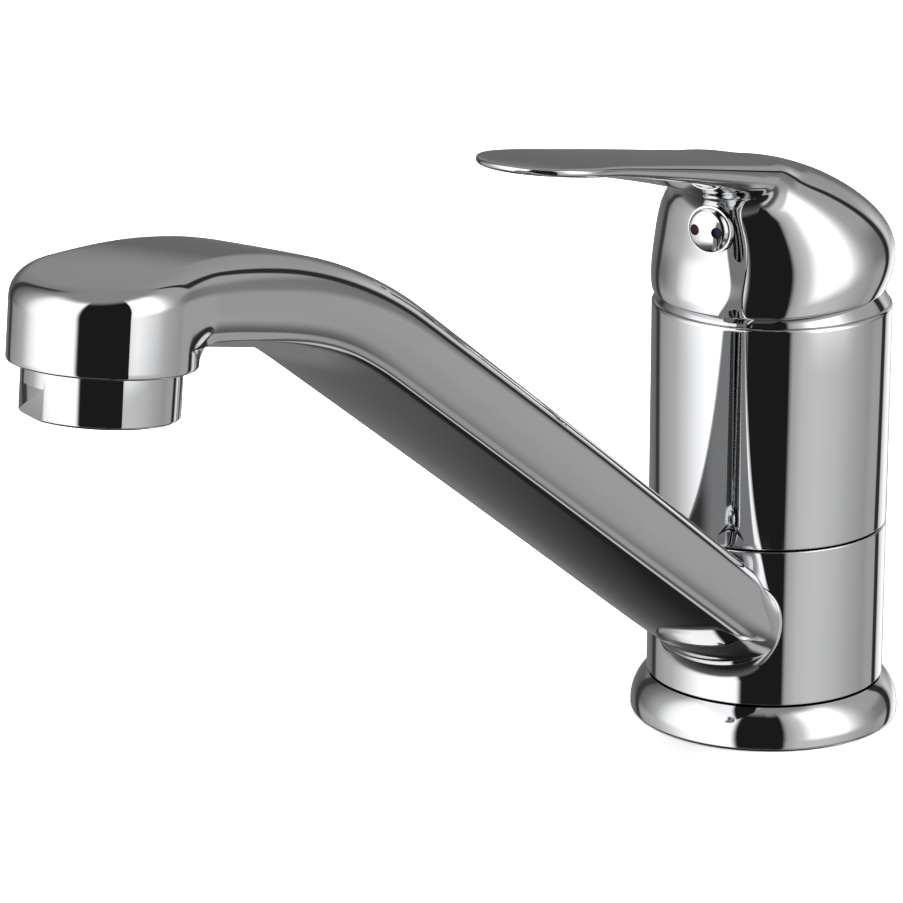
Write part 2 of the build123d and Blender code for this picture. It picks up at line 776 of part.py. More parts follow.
# Handle: leaning dome over the cap with the lever blade, hollow inside
# Each ring of the dome, in shares of its widest radius: height above the cup, radius, forward shift
dome_rings = [
    (0.063, 0.951, 0.085),
    (0.175, 0.980, 0.061),
    (0.377, 1.000, 0.004),
    (0.596, 0.957, 0.031),
    (0.767, 0.892, 0.105),
    (0.933, 0.789, 0.233),
    (1.121, 0.610, 0.381),
    (1.274, 0.359, 0.538),
    (1.336, 0.135, 0.628),
]
dome_radius = body_radius - dome_inset
rim_reach = hypot(body_radius - rim_round, cup_top - rim_round - pivot_height) + rim_round
cavity_radius = rim_reach + dome_clearance
skirt_tilt = degrees(atan2(skirt_rear_gap - skirt_front_gap, 2 * dome_radius))
skirt_plane = Plane(
    origin=(0, 0, cup_top + (skirt_front_gap + skirt_rear_gap) / 2),
    x_dir=(1, 0, 0),
    z_dir=(0, -sin(radians(skirt_tilt)), cos(radians(skirt_tilt))),
)
tip_radius = lever_width / 2
lever_rise = tan(radians(lever_slope))
lever_root_level = cup_top + dome_rings[-1][0] * dome_radius - lever_root_drop
lever_tip_level = lever_root_level + (lever_tip_reach - lever_root_reach) * lever_rise
lever_mid_reach = (lever_tip_reach + lever_root_reach) / 2
lever_mid_level = (lever_tip_level + lever_root_level) / 2
lever_heel = lever_root_reach - tip_radius
lever_heel_level = lever_root_level - tip_radius * lever_rise
lever_plan_plane = Plane(
    origin=(0, -(lever_tip_reach - tip_radius + lever_root_reach) / 2, lever_tip_level)
)
plug_reach = dome_radius + plug_projection
plug_plane = Plane(origin=(0, -plug_reach, screw_height), x_dir=(1, 0, 0), z_dir=(0, -1, 0))
lean_rise = (screw_height + grub_screw_diameter / 2 - pivot_height) * tan(radians(rest_lean))
screw_start = lean_rise + spindle_width / 2 / cos(radians(rest_lean)) + seal_clearance

with BuildPart() as handle_lever:
    with BuildSketch(lever_plan_plane):
        SlotCenterToCenter(lever_tip_reach - tip_radius - lever_root_reach, lever_width, rotation=90)
    extrude(amount=lever_tip_level, both=True)
    with BuildSketch(Plane.YZ):
        with BuildLine():
            Polyline(
                forward((lever_root_reach, lever_root_level - lever_root_thickness)),
                forward((lever_heel, lever_heel_level - lever_root_thickness)),
                forward((lever_heel, lever_heel_level)),
                forward((lever_tip_reach, lever_tip_level)),
                forward((lever_tip_reach, lever_tip_level - lever_tip_thickness)),
            )
            ThreePointArc(
                forward((lever_tip_reach, lever_tip_level - lever_tip_thickness)),
                forward((lever_mid_reach, lever_mid_level - lever_mid_thickness)),
                forward((lever_root_reach, lever_root_level - lever_root_thickness)),
            )
        make_face()
    extrude(amount=lever_width, both=True, mode=Mode.INTERSECT)
    fillet(handle_lever.edges().filter_by(Axis.X, reverse=True), radius=lever_edge_round)
    for height, size, shift in dome_rings:
        with BuildSketch(Plane.XY.offset(cup_top + height * dome_radius)):
            with Locations((0, -shift * dome_radius)):
                Circle(size * dome_radius)
    loft()
    split(bisect_by=skirt_plane, keep=Keep.TOP)
    with Locations((0, 0, pivot_height)):
        Sphere(cavity_radius, mode=Mode.SUBTRACT)
    with BuildSketch(spindle_plane):
        Rectangle(spindle_width + 2 * fit_clearance, spindle_width + 2 * fit_clearance)
    extrude(amount=spindle_length + disc_clearance, mode=Mode.SUBTRACT)
    with BuildSketch(plug_plane):
        Circle(grub_screw_diameter / 2 + fit_clearance)
    extrude(amount=-(plug_reach - screw_start), mode=Mode.SUBTRACT)
    with BuildSketch(plug_plane):
        Circle(plug_diameter / 2 + fit_clearance)
    extrude(amount=-(plug_projection + plug_depth), mode=Mode.SUBTRACT)
handle_lever.part.label = "handle_lever"
export_step(handle_lever.part, "parts/handle_lever.step")

# Grub screw behind the indicator plug, pressing on the spindle
with BuildPart() as grub_screw:
    with BuildSketch(plug_plane.offset(screw_start - plug_reach)):
        Circle(grub_screw_diameter / 2)
    extrude(amount=grub_screw_length)
    with BuildSketch(plug_plane.offset(screw_start - plug_reach + grub_screw_length)):
        RegularPolygon(hex_key_size / 2, 6, major_radius=False)
    extrude(amount=-hex_key_size, mode=Mode.SUBTRACT)
grub_screw.part.label = "grub_screw"
export_step(grub_screw.part, "parts/grub_screw.step")

# Indicator plug with a hot and a cold dot
with BuildPart() as indicator_plug:
    with BuildSketch(plug_plane):
        Circle(plug_diameter / 2)
    extrude(amount=-(plug_projection + plug_depth))
    fillet(indicator_plug.faces().sort_by(Axis.Y)[0].edges(), radius=plug_rim_round)
    with BuildSketch(plug_plane):
        with GridLocations(dot_spacing, 0, 2, 1):
            Circle(dot_diameter / 2)
    extrude(amount=-dot_depth, mode=Mode.SUBTRACT)
indicator_plug.part.label = "indicator_plug"
export_step(indicator_plug.part, "parts/indicator_plug.step")

with BuildPart() as hot_dot:
    with BuildSketch(plug_plane.offset(-dot_depth)):
        with Locations((-dot_spacing / 2, 0)):
            Circle(dot_diameter / 2)
    extrude(amount=dot_depth - dot_recess)
hot_dot.part.label = "hot_dot"
export_step(hot_dot.part, "parts/hot_dot.step")

with BuildPart() as cold_dot:
    with BuildSketch(plug_plane.offset(-dot_depth)):
        with Locations((dot_spacing / 2, 0)):
            Circle(dot_diameter / 2)
    extrude(amount=dot_depth - dot_recess)
cold_dot.part.label = "cold_dot"
export_step(cold_dot.part, "parts/cold_dot.step")
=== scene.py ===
import json
from math import acos, asin, atan2, cos, degrees, hypot, pi, radians, sin, sqrt

import bmesh
import bpy
import numpy as np
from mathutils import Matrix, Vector


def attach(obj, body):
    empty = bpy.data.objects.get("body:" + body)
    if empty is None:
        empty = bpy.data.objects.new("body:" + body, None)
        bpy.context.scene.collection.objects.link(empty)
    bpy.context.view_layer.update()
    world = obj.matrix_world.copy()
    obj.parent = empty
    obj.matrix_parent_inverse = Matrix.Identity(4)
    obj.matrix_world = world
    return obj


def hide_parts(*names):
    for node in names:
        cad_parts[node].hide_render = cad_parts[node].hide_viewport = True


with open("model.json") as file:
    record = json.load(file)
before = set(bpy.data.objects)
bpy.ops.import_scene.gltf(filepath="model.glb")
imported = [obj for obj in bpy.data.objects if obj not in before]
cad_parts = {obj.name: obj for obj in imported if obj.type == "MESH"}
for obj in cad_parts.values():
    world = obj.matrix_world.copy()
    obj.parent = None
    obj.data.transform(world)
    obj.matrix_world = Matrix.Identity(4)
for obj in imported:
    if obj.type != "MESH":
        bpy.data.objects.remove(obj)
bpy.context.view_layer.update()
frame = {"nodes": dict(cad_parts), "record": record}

MM = 0.001

# Column sizes, in millimetres like all sizes of the part
BODY_R = 22.5
SPIGOT_R, SPIGOT_CHAMFER, CORE_R = 15.5, 0.4, 1.0
FLANGE_R, FLANGE_H, FLANGE_FOOT, FLANGE_FOOT_ROUND = 25.5, 7.7, 1.2, 0.6
FLANGE_STEP, FLANGE_GAP = 0.25, 0.1
GROOVE_OUTER, GROOVE_INNER, GROOVE_DEPTH = 22.6, 18.9, 2.2
COLLAR_LOW, COLLAR_HIGH, COLLAR_BORE, COLLAR_EDGE = 8.1, 38.3, 15.58, 0.25
CUP_LOW, CUP_HIGH, CUP_ROUND, CUP_FOOT_ROUND = 38.7, 81.1, 0.9, 0.2
CUP_MOUTH_R, CUP_SHOULDER, CARTRIDGE_R, CARTRIDGE_FLOOR = 19.0, 68.5, 17.6, 46.0
CAP_SPHERE, CAP_INNER, CAP_OPENING, CAP_INNER_END_DEG = 25.1, 22.6, 11.0, 44
CAP_SKIRT_INNER, CAP_SKIRT_OUTER, CAP_SKIRT_LOW, CAP_RIM = 16.1, 18.9, 76.5, 20.7
PIVOT_Z = 69.0
# Holes underneath, two inlets and the stud's, as x, y and radius
BASE_HOLES = [(-6.2, 3.5, 4.5), (6.2, 3.5, 4.5), (0.0, -8.0, 3.4)]
BASE_HOLE_DEPTH = 14.0

# Mesh density, welding and solving
TURNED_SIDES, PLUG_SIDES, HOLE_SIDES = 160, 96, 48
POLE_R, WELD, SEAM_WELD = 0.0008, 0.002, 0.004
SOLVE_ROUNDS, SLOPE_STEP, TINY = 40, 0.01, 1e-9
# Turns x, y, z into x, u, z, where u runs forwards, and back
FORWARDS = np.array((1, -1, 1))

# Finishes
PALER, ROUGH_SPREAD, TURNED_ROUGH_SPREAD = 1.03, 0.08, 0.1


def finish(name, colour, metallic, roughness, **sockets):
    """New material with its node tree and its shader, whose plain sockets are set."""
    material = bpy.data.materials.new(name)
    material.use_nodes = True
    tree = material.node_tree
    shader = tree.nodes["Principled BSDF"]
    shader.inputs["Base Color"].default_value = (*colour, 1)
    shader.inputs["Metallic"].default_value = metallic
    shader.inputs["Roughness"].default_value = roughness
    for socket, value in sockets.items():
        shader.inputs[socket.replace("_", " ")].default_value = value
    material.diffuse_color = (*colour, 1)
    return material, tree, shader


def add_node(tree, kind, inputs, **settings):
    """New shader node; each input is a value or another node's output."""
    node = tree.nodes.new("ShaderNode" + kind)
    for name, value in settings.items():
        setattr(node, name, value)
    for socket, value in inputs.items():
        if isinstance(value, bpy.types.NodeSocket):
            tree.links.new(value, node.inputs[socket])
        else:
            node.inputs[socket].default_value = value
    return node


def noise(tree, scale, detail, stretch=(1, 1, 1)):
    """Noise on the piece's own coordinates; scale is in features per metre."""
    point = add_node(tree, "TexCoord", {}).outputs["Object"]
    point = add_node(tree, "Mapping", {"Vector": point, "Scale": stretch}).outputs["Vector"]
    return add_node(tree, "TexNoise", {"Vector": point, "Scale": scale, "Detail": detail}).outputs["Fac"]


def mapped(tree, value, from_range=(0.0, 1.0), to_range=(0.0, 1.0), curve="LINEAR"):
    """Maps a value from one range to another."""
    names = ("Value", "From Min", "From Max", "To Min", "To Max")
    inputs = dict(zip(names, (value, *from_range, *to_range)))
    return add_node(tree, "MapRange", inputs, interpolation_type=curve).outputs["Result"]


def mixed(tree, factor, a, b, blend="MIX"):
    """Mixes two colours, each given with its alpha or as another node's output."""
    inputs = {"Factor": factor, "A": a, "B": b}
    return add_node(tree, "Mix", inputs, data_type="RGBA", blend_type=blend).outputs["Result"]


def colour_by(tree, shader, pattern, dark, light):
    tree.links.new(mixed(tree, pattern, (*dark, 1), (*light, 1)), shader.inputs["Base Color"])


def roughen_by(tree, shader, pattern, low, high):
    tree.links.new(mapped(tree, pattern, to_range=(low, high)), shader.inputs["Roughness"])


def relief(tree, shader, height, depth, strength):
    """Bump of a given depth in millimetres."""
    bump = add_node(tree, "Bump", {"Height": height, "Distance": depth * MM, "Strength": strength})
    tree.links.new(bump.outputs["Normal"], shader.inputs["Normal"])


def chrome_finish(name, colour, rough_low, rough_high):
    """Polished plating: faint hazing and the slow swell of a buffed casting."""
    material, tree, shader = finish(name, colour, 1.0, rough_low)
    roughen_by(tree, shader, noise(tree, scale=55, detail=5), rough_low, rough_high)
    paler = tuple(min(1, c * PALER) for c in colour)
    colour_by(tree, shader, noise(tree, scale=18, detail=2), colour, paler)
    relief(tree, shader, noise(tree, scale=70, detail=1), depth=0.012, strength=0.35)
    return material


def moulded_finish(name, dark, light, rough, grain, depth):
    """Moulded plastic or rubber: a fine even grain and a slight cloudiness."""
    material, tree, shader = finish(name, light, 0.0, rough)
    colour_by(tree, shader, noise(tree, scale=90, detail=4), dark, light)
    fine = noise(tree, scale=grain, detail=4)
    roughen_by(tree, shader, fine, rough - ROUGH_SPREAD, rough + ROUGH_SPREAD)
    relief(tree, shader, fine, depth, strength=0.5)
    return material


def turned_finish(name, dark, light, rough, stretch):
    """Machined metal with the tool's fine rings or lines."""
    material, tree, shader = finish(name, light, 1.0, rough)
    lines = noise(tree, scale=420, detail=6, stretch=stretch)
    colour_by(tree, shader, lines, dark, light)
    roughen_by(tree, shader, lines, rough - ROUGH_SPREAD, rough + TURNED_ROUGH_SPREAD)
    relief(tree, shader, lines, depth=0.02, strength=0.4)
    return material


def glazed_finish(name, dark, light, rough, rough_low, rough_high, grain, **sockets):
    """Fired ceramic or filled enamel: a faint speckle in colour and sheen."""
    material, tree, shader = finish(name, light, 0.0, rough, **sockets)
    speck = noise(tree, scale=grain, detail=3)
    colour_by(tree, shader, speck, dark, light)
    roughen_by(tree, shader, speck, rough_low, rough_high)
    return material


MOULDED = {"grain": 1100, "depth": 0.015}
LAPPED = {"rough": 0.22, "rough_low": 0.16, "rough_high": 0.3, "grain": 900, "Coat_Weight": 0.2}
ENAMEL = {"rough": 0.45, "rough_low": 0.38, "rough_high": 0.5, "grain": 700, "Specular_IOR_Level": 0.2}
finishes = {
    "chrome_plate": chrome_finish("polished_chrome", (0.74, 0.745, 0.755), 0.012, 0.035),
    "plated_plastic": chrome_finish("plated_plug", (0.78, 0.785, 0.79), 0.03, 0.07),
    "raw_brass": turned_finish("machined_brass", (0.62, 0.46, 0.2), (0.8, 0.63, 0.33), 0.3, (1, 1, 8)),
    "steel": turned_finish("stainless_steel", (0.45, 0.46, 0.47), (0.66, 0.67, 0.68), 0.28, (8, 1, 1)),
    "black_rubber": moulded_finish(
        "black_rubber", (0.012, 0.012, 0.013), (0.03, 0.03, 0.031), rough=0.62, grain=1500, depth=0.03
    ),
    "white_plastic": moulded_finish("acetal", (0.78, 0.78, 0.76), (0.88, 0.88, 0.86), 0.4, **MOULDED),
    "grey_plastic": moulded_finish("grey_plastic", (0.34, 0.35, 0.36), (0.47, 0.48, 0.49), 0.45, **MOULDED),
    "white_ceramic": glazed_finish("lapped_ceramic", (0.8, 0.79, 0.76), (0.92, 0.91, 0.88), **LAPPED),
    # The hot and cold marks' near-black red and blue are partly the enamel's own colour and partly painted
    # shade, darkened to stand in for the shade in their recesses.
    "hot_mark": glazed_finish("hot_enamel_painted_shade", (0.025, 0.003, 0.003), (0.06, 0.006, 0.006), **ENAMEL),
    "cold_mark": glazed_finish("cold_enamel_painted_shade", (0.003, 0.004, 0.025), (0.006, 0.01, 0.055), **ENAMEL),
}
slot_of = {row["node"]: row["material_slot"] for row in frame["record"]["subparts"]}
for node, cad_object in frame["nodes"].items():
    cad_object.data.materials.clear()
    cad_object.data.materials.append(finishes[slot_of[node]])


# Modelling aids
def pick(piece):
    """Makes a piece the only one that is selected, and the active one."""
    bpy.ops.object.select_all(action="DESELECT")
    bpy.context.view_layer.objects.active = piece
    piece.select_set(True)


def edit(piece):
    pick(piece)
    bpy.ops.object.mode_set(mode="EDIT")


def leave_edit():
    bpy.ops.object.mode_set(mode="OBJECT")


def weld():
    """In edit mode: welds the seams and turns the faces outwards."""
    bpy.ops.mesh.select_all(action="SELECT")
    bpy.ops.mesh.remove_doubles(threshold=WELD * MM)
    bpy.ops.mesh.normals_make_consistent(inside=False)


def settle(piece):
    """Applies a piece's place, turn and scale to its mesh."""
    pick(piece)
    bpy.ops.object.transform_apply(location=True, rotation=True, scale=True)


def smooth(piece, angle=32):
    """Smooth shading up to an angle in degrees between faces."""
    pick(piece)
    bpy.ops.object.shade_smooth_by_angle(angle=radians(angle))


def cut(piece, tool):
    """Cuts a tool's shape out of a piece and removes the tool."""
    pick(piece)
    modifier = piece.modifiers.new("cut", "BOOLEAN")
    modifier.operation = "DIFFERENCE"
    modifier.solver = "EXACT"
    modifier.object = tool
    bpy.ops.object.modifier_apply(modifier=modifier.name)
    bpy.data.objects.remove(tool)


def bore(piece, centre, radius, length, rotation=(0, 0, 0), sides=HOLE_SIDES):
    """Cuts a round hole with a cylinder of a given length about its centre."""
    bpy.ops.mesh.primitive_cylinder_add(
        vertices=sides,
        radius=radius * MM,
        depth=length * MM,
        location=[c * MM for c in centre],
        rotation=rotation,
    )
    cut(piece, bpy.context.object)


def place(piece, body, slot, *nodes):
    """Gives a piece its material and its body, and hides the CAD nodes that it stands for."""
    piece.data.materials.clear()
    piece.data.materials.append(finishes[slot])
    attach(piece, body)
    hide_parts(*nodes)


def arc(centre, radius, start, end, steps):
    """Points round part of a circle, angles in degrees."""
    turns = [radians(start + (end - start) * i / steps) for i in range(steps + 1)]
    return [(centre[0] + radius * cos(turned), centre[1] + radius * sin(turned)) for turned in turns]


def smoothstep(value, low, high):
    """Eased 0 to 1 from one value to another, for numbers and arrays."""
    share = np.clip((value - low) / (high - low), 0.0, 1.0)
    return share * share * (3 - 2 * share)


def between(a, b, share):
    """Point part of the way from one point to another."""
    return tuple(p + (q - p) * share for p, q in zip(a, b))


def line(a, b, steps):
    """Points from one point to another, both included."""
    return [between(a, b, i / steps) for i in range(steps + 1)]


def corner_round(a, corner, b, steps):
    """Curve that leaves a towards the corner and arrives at b."""
    arms = zip(line(a, corner, steps), line(corner, b, steps))
    return [between(p, q, i / steps) for i, (p, q) in enumerate(arms)]


def turn(name, profile, sides=TURNED_SIDES):
    """Circle drawn out ring by ring along a closed profile of (radius, height)."""
    radius, height = profile[0]
    bpy.ops.mesh.primitive_circle_add(vertices=sides, radius=radius * MM, location=(0, 0, height * MM))
    piece = bpy.context.object
    piece.name = piece.data.name = name
    settle(piece)
    edit(piece)
    bpy.ops.mesh.select_all(action="SELECT")
    for next_radius, next_height in profile[1:] + profile[:1]:
        rise = (next_height - height) * MM
        grow = next_radius / radius
        bpy.ops.mesh.extrude_edges_move(TRANSFORM_OT_translate={"value": (0, 0, rise)})
        bpy.ops.transform.resize(value=(grow, grow, 1), center_override=(0, 0, 0))
        radius, height = next_radius, next_height
    weld()
    leave_edit()
    return piece


def skin(name, patches):
    """Piece from patches of rows over its +x half, mirrored and welded; points are x, u, z."""
    bm = bmesh.new()
    for rows in patches:
        grid = [[bm.verts.new((x * MM, -u * MM, z * MM)) for x, u, z in row] for row in rows]
        for low, high in zip(grid, grid[1:]):
            for i in range(len(low) - 1):
                bm.faces.new((low[i], low[i + 1], high[i + 1], high[i]))
    mesh = bpy.data.meshes.new(name)
    bm.to_mesh(mesh)
    bm.free()
    piece = bpy.data.objects.new(name, mesh)
    bpy.context.scene.collection.objects.link(piece)
    pick(piece)
    mirror = piece.modifiers.new("mirror", "MIRROR")
    mirror.merge_threshold = SEAM_WELD * MM
    bpy.ops.object.modifier_apply(modifier=mirror.name)
    edit(piece)
    bpy.ops.mesh.select_all(action="SELECT")
    bpy.ops.mesh.remove_doubles(threshold=SEAM_WELD * MM)
    bpy.ops.mesh.dissolve_degenerate(threshold=WELD * MM)
    weld()
    leave_edit()
    return piece


def read(items, name, width, kind=float):
    """One value of all of a mesh's items, as the rows of an array."""
    values = np.empty(len(items) * width, dtype=kind)
    items.foreach_get(name, values)
    return values.reshape(-1, width)


def true_normals(piece, wanted):
    """Gives a surface its true normals, which uneven rows would bend a little."""
    least_alignment = 0.8
    mesh = piece.data
    corners = read(mesh.loops, "vertex_index", 1, int)[:, 0]
    normals = read(mesh.corner_normals, "vector", 3)
    directions, on_surface = wanted(read(mesh.vertices, "co", 3) / MM * FORWARDS)
    directions = (directions * FORWARDS)[corners]
    close = on_surface[corners] & ((directions * normals).sum(1) > least_alignment)
    normals[close] = directions[close]
    mesh.normals_split_custom_set(normals)


# Column
def make_flange():
    """Foot ring: bulging shoulder, eased foot, and the gasket's groove underneath."""
    rise, out = FLANGE_H - FLANGE_FOOT, FLANGE_R - BODY_R
    bulge = (rise**2 + out**2) / (2 * out)
    start = degrees(atan2(rise, bulge - out))
    foot_r = FLANGE_R - FLANGE_FOOT_ROUND
    profile = [
        (SPIGOT_R + FLANGE_GAP, FLANGE_H),
        (BODY_R - FLANGE_STEP, FLANGE_H),
        *arc((FLANGE_R - bulge, FLANGE_FOOT), bulge, start, 0, steps=14),
        *arc((foot_r, FLANGE_FOOT_ROUND), FLANGE_FOOT_ROUND, 0, -90, steps=4),
        (GROOVE_OUTER, 0.0), (GROOVE_OUTER, GROOVE_DEPTH),
        (GROOVE_INNER, GROOVE_DEPTH), (GROOVE_INNER, 0.0),
        (SPIGOT_R + FLANGE_GAP, 0.0),
    ]
    piece = turn("flange_ring", profile)
    smooth(piece)
    place(piece, "column", "chrome_plate", "base_flange")


def make_body():
    """Upper body over its spigot, with the cartridge's seat and the holes underneath."""
    foot = (BODY_R - CUP_FOOT_ROUND, CUP_LOW + CUP_FOOT_ROUND)
    rim = (BODY_R - CUP_ROUND, CUP_HIGH - CUP_ROUND)
    profile = [
        (CORE_R, 0.0), (SPIGOT_R - SPIGOT_CHAMFER, 0.0), (SPIGOT_R, SPIGOT_CHAMFER), (SPIGOT_R, CUP_LOW),
        *arc(foot, CUP_FOOT_ROUND, -90, 0, steps=4),
        *arc(rim, CUP_ROUND, 0, 90, steps=8),
        (CUP_MOUTH_R, CUP_HIGH), (CUP_MOUTH_R, CUP_SHOULDER),
        (CARTRIDGE_R, CUP_SHOULDER), (CARTRIDGE_R, CARTRIDGE_FLOOR), (CORE_R, CARTRIDGE_FLOOR),
    ]
    piece = turn("upper_body", profile)
    for x, y, radius in BASE_HOLES:
        bore(piece, (x, y, 0.0), radius, length=2 * BASE_HOLE_DEPTH)
    smooth(piece)
    place(piece, "column", "chrome_plate", "body_casting")


def make_cap():
    """Spherical ring between the body's rim and the handle."""
    lean_low = degrees(asin((CUP_HIGH - PIVOT_Z) / CAP_SPHERE))
    lean_high = degrees(acos(CAP_OPENING / CAP_SPHERE))
    lean_inner = degrees(acos(CAP_OPENING / CAP_INNER))
    profile = [
        *arc((0, PIVOT_Z), CAP_SPHERE, lean_low, lean_high, steps=16),
        *arc((0, PIVOT_Z), CAP_INNER, lean_inner, CAP_INNER_END_DEG, steps=12),
        (CAP_SKIRT_INNER, CAP_SKIRT_LOW), (CAP_SKIRT_OUTER, CAP_SKIRT_LOW),
        (CAP_SKIRT_OUTER, CUP_HIGH), (CAP_RIM, CUP_HIGH),
    ]
    piece = turn("dome_ring", profile)
    smooth(piece)
    place(piece, "column", "chrome_plate", "dome_cap")


# Spout sizes: arm and head in the plane of symmetry, u forwards, z up
HUB_TOP, TOP_SLOPE, CROWN_U, CROWN_Z, NOSE_BEND_R = 35.1, 0.705, 194.0, 131.1, 220.0
HUB_CHINE, CHINE_SLOPE = 19.8, 0.6873
CHINE_BEND_START, CHINE_BEND_U, CHINE_BEND_Z, CHINE_BEND_R = 141.0, 208.97, 2.35, 120.0
CHINE_SAG, SAG_START, SAG_FULL = 1.7, 150.0, 180.5
HEAD_U, HEAD_Z, HEAD_R = 199.125, 116.449, 14.5
HEAD_TILT = radians(6.7)
NECK_HALF, NECK_FILLET, HUB_HALF = 13.8, 60.0, 13.9
TOP_BEND_R = (HUB_TOP + (CROWN_U - BODY_R) * TOP_SLOPE - CROWN_Z) / (hypot(1.0, TOP_SLOPE) - 1)
TOP_BEND_START = CROWN_U - TOP_BEND_R * TOP_SLOPE / hypot(1.0, TOP_SLOPE)
NECK_BACK = sqrt((HEAD_R + NECK_FILLET) ** 2 - (NECK_HALF + NECK_FILLET) ** 2)
NECK_U = HEAD_U - NECK_BACK
NECK_TURN = pi / 2 + atan2(NECK_BACK, NECK_HALF + NECK_FILLET)
HEAD_ROUND, BEND_ROUND, ARM_ROUND, EDGE_ROUND, RIM_ROUND = 3.6, 5.6, 3.4, 1.4, 0.5
TOP_ROUND_START, TOP_ROUND_FULL, TOP_ROUND_END = 70.0, 168.0, 204.0
CROWN, WALL_TUCK, TUCK_START = 0.2, 0.9, 0.3
WALL_LEAST, WALL_MOST, FIRST_RISE = 3.0, 30.0, 14.0
HEEL_U, HEEL_FILLET, HEEL_RUN_OUT = 184.5, 1.6, 0.2
HEEL_DIP, DIP_START, DIP_FULL = 0.4, NECK_U - 1.0, NECK_U + 4.5
NECK_LAG, NECK_LAG_POWER, LAG_START = 3.0, 1.7, 158.0
BELLY, BELLY_LEAST, BELLY_START, BELLY_FULL = 2.5, 0.6, 140.0, 174.0
BELLY_HUB, BELLY_HUB_START, BELLY_HUB_END = 4.4, 30.0, 140.0
HUB_FILLET, HUB_FILLET_UNDER, HUB_UNDER_POWER, HUB_EASING = 0.5, 3.0, 6, 160
AERATOR_HOLE_R, AERATOR_HOLE_DEPTH, AERATOR_HOLE_CHAMFER = 10.95, 7.6, 0.3
CHAMBER_R, CHAMBER_DEPTH = 8.5, 10.0
AERATOR_R, AERATOR_DROP, AERATOR_ROUND, AERATOR_CHAMFER = 12.2, 7.9, 0.5, 0.25
AERATOR_THREAD_R, AERATOR_THREAD, AERATOR_BORE, AERATOR_LIP_R, AERATOR_LIP = 10.9, 6.0, 9.3, 8.1, 1.2
AERATOR_FLAT, AERATOR_FLAT_HEIGHT, AERATOR_FLAT_TURN = 22.6, 5.0, radians(28)
FLAT_CUTTER_WIDTH, FLAT_CUTTER_DEPTH = 30.0, 8.0
TOP_STEPS, ROUND_STEPS, WALL_STEPS, EDGE_STEPS, UNDER_STEPS, ROW_STEPS = 10, 16, 20, 6, 28, 200
HEAD_STEPS, NECK_STEPS, SKIRT_STEPS, RIM_STEPS, HUB_STEPS, HUB_FILLET_STEPS = 36, 8, 6, 4, 16, 8
# The arm's half ring lands point by point on the collar's edge, so both have as many points
COLLAR_STEPS, COLLAR_RISE_STEPS, COLLAR_ROWS, COLLAR_CROWDING = 33, 14, 32, 1.3
# Spacing of the half rings along the arm, from the neck to the hub
ARM_GAPS = [0.8, 1.0, 1.2, 1.5, 1.9] + [2.5] * 19 + [4.5] * 23 + [2.0] * 2


def arm_top(u):
    """Crown line: straight rise from the hub, then one broad bend over the head."""
    if u < TOP_BEND_START:
        return HUB_TOP + (u - BODY_R) * TOP_SLOPE
    bend = TOP_BEND_R if u < CROWN_U else NOSE_BEND_R
    return CROWN_Z - bend + sqrt(bend**2 - (u - CROWN_U) ** 2)


def arm_chine(u):
    """Lower edge of the arm's side, which dips a little where it meets the head."""
    if u < CHINE_BEND_START:
        return HUB_CHINE + (u - BODY_R) * CHINE_SLOPE
    level = CHINE_BEND_Z + sqrt(CHINE_BEND_R**2 - (u - CHINE_BEND_U) ** 2)
    sag = CHINE_SAG * smoothstep(u, SAG_START, SAG_FULL)
    return level - sag - HEEL_DIP * smoothstep(u, DIP_START, DIP_FULL)


def top_round(u):
    """Radius of the top edge: slim along the arm, fullest in the bend."""
    along_arm = ARM_ROUND + (BEND_ROUND - ARM_ROUND) * smoothstep(u, TOP_ROUND_START, TOP_ROUND_FULL)
    return along_arm + (HEAD_ROUND - BEND_ROUND) * smoothstep(u, TOP_ROUND_FULL, TOP_ROUND_END)


def half_width(u):
    return NECK_HALF + (HUB_HALF - NECK_HALF) * (NECK_U - u) / (NECK_U - BODY_R)


def belly(u):
    """How far the underside's middle hangs below its edges."""
    at_head = (BELLY - BELLY_LEAST) * smoothstep(u, BELLY_START, BELLY_FULL)
    at_hub = (BELLY_HUB - BELLY_LEAST) * (1 - smoothstep(u, BELLY_HUB_START, BELLY_HUB_END))
    return BELLY_LEAST + at_head + at_hub


def head_point(along, across, height):
    """Point given in the head's tilted rim plane and above it."""
    return (
        across,
        HEAD_U + along * cos(HEAD_TILT) - height * sin(HEAD_TILT),
        HEAD_Z + along * sin(HEAD_TILT) + height * cos(HEAD_TILT),
    )


def head_round(radius, turned, height):
    """Point on a circle about the head's axis, at an angle from the front."""
    return head_point(radius * cos(turned), radius * sin(turned), height)


def top_strip(u, x, inward_u, inward_x, lean):
    """Points from the top's middle over the rounded edge to the side wall."""
    strip = []
    size = top_round(u)
    for i in range(ROUND_STEPS, -1, -1):
        turned = pi / 2 * i / ROUND_STEPS
        inset = size * (1 - cos(turned))
        drop = size * (1 - sin(turned))
        at_u = u + inward_u * inset
        at_x = max(0.0, x + inward_x * inset)
        crowned = arm_top(at_u) - CROWN * (at_x / NECK_HALF) ** 2
        strip.append((at_x, at_u + drop * sin(lean), crowned - drop * cos(lean)))
    inner_x, inner_u, inner_z = strip[0]
    middle = []
    for i in range(TOP_STEPS):
        at_x = inner_x * i / TOP_STEPS
        middle.append((at_x, inner_u, inner_z + CROWN * (inner_x**2 - at_x**2) / NECK_HALF**2))
    return middle + strip


def top_above(foot):
    """Where a line up the head's wall from its foot meets the crown line."""
    rise = FIRST_RISE
    for _ in range(SOLVE_ROUNDS):
        rise += arm_top(foot[1] - rise * sin(HEAD_TILT)) - foot[2] - rise * cos(HEAD_TILT)
    return foot[1] - rise * sin(HEAD_TILT)


def chine_below(u, lean):
    """How far down the wall from the crown line the lower edge lies."""
    near, far = WALL_LEAST, WALL_MOST
    for _ in range(SOLVE_ROUNDS):
        drop = (near + far) / 2
        if arm_top(u) - drop * cos(lean) > arm_chine(u + drop * sin(lean)):
            near = drop
        else:
            far = drop
    return drop


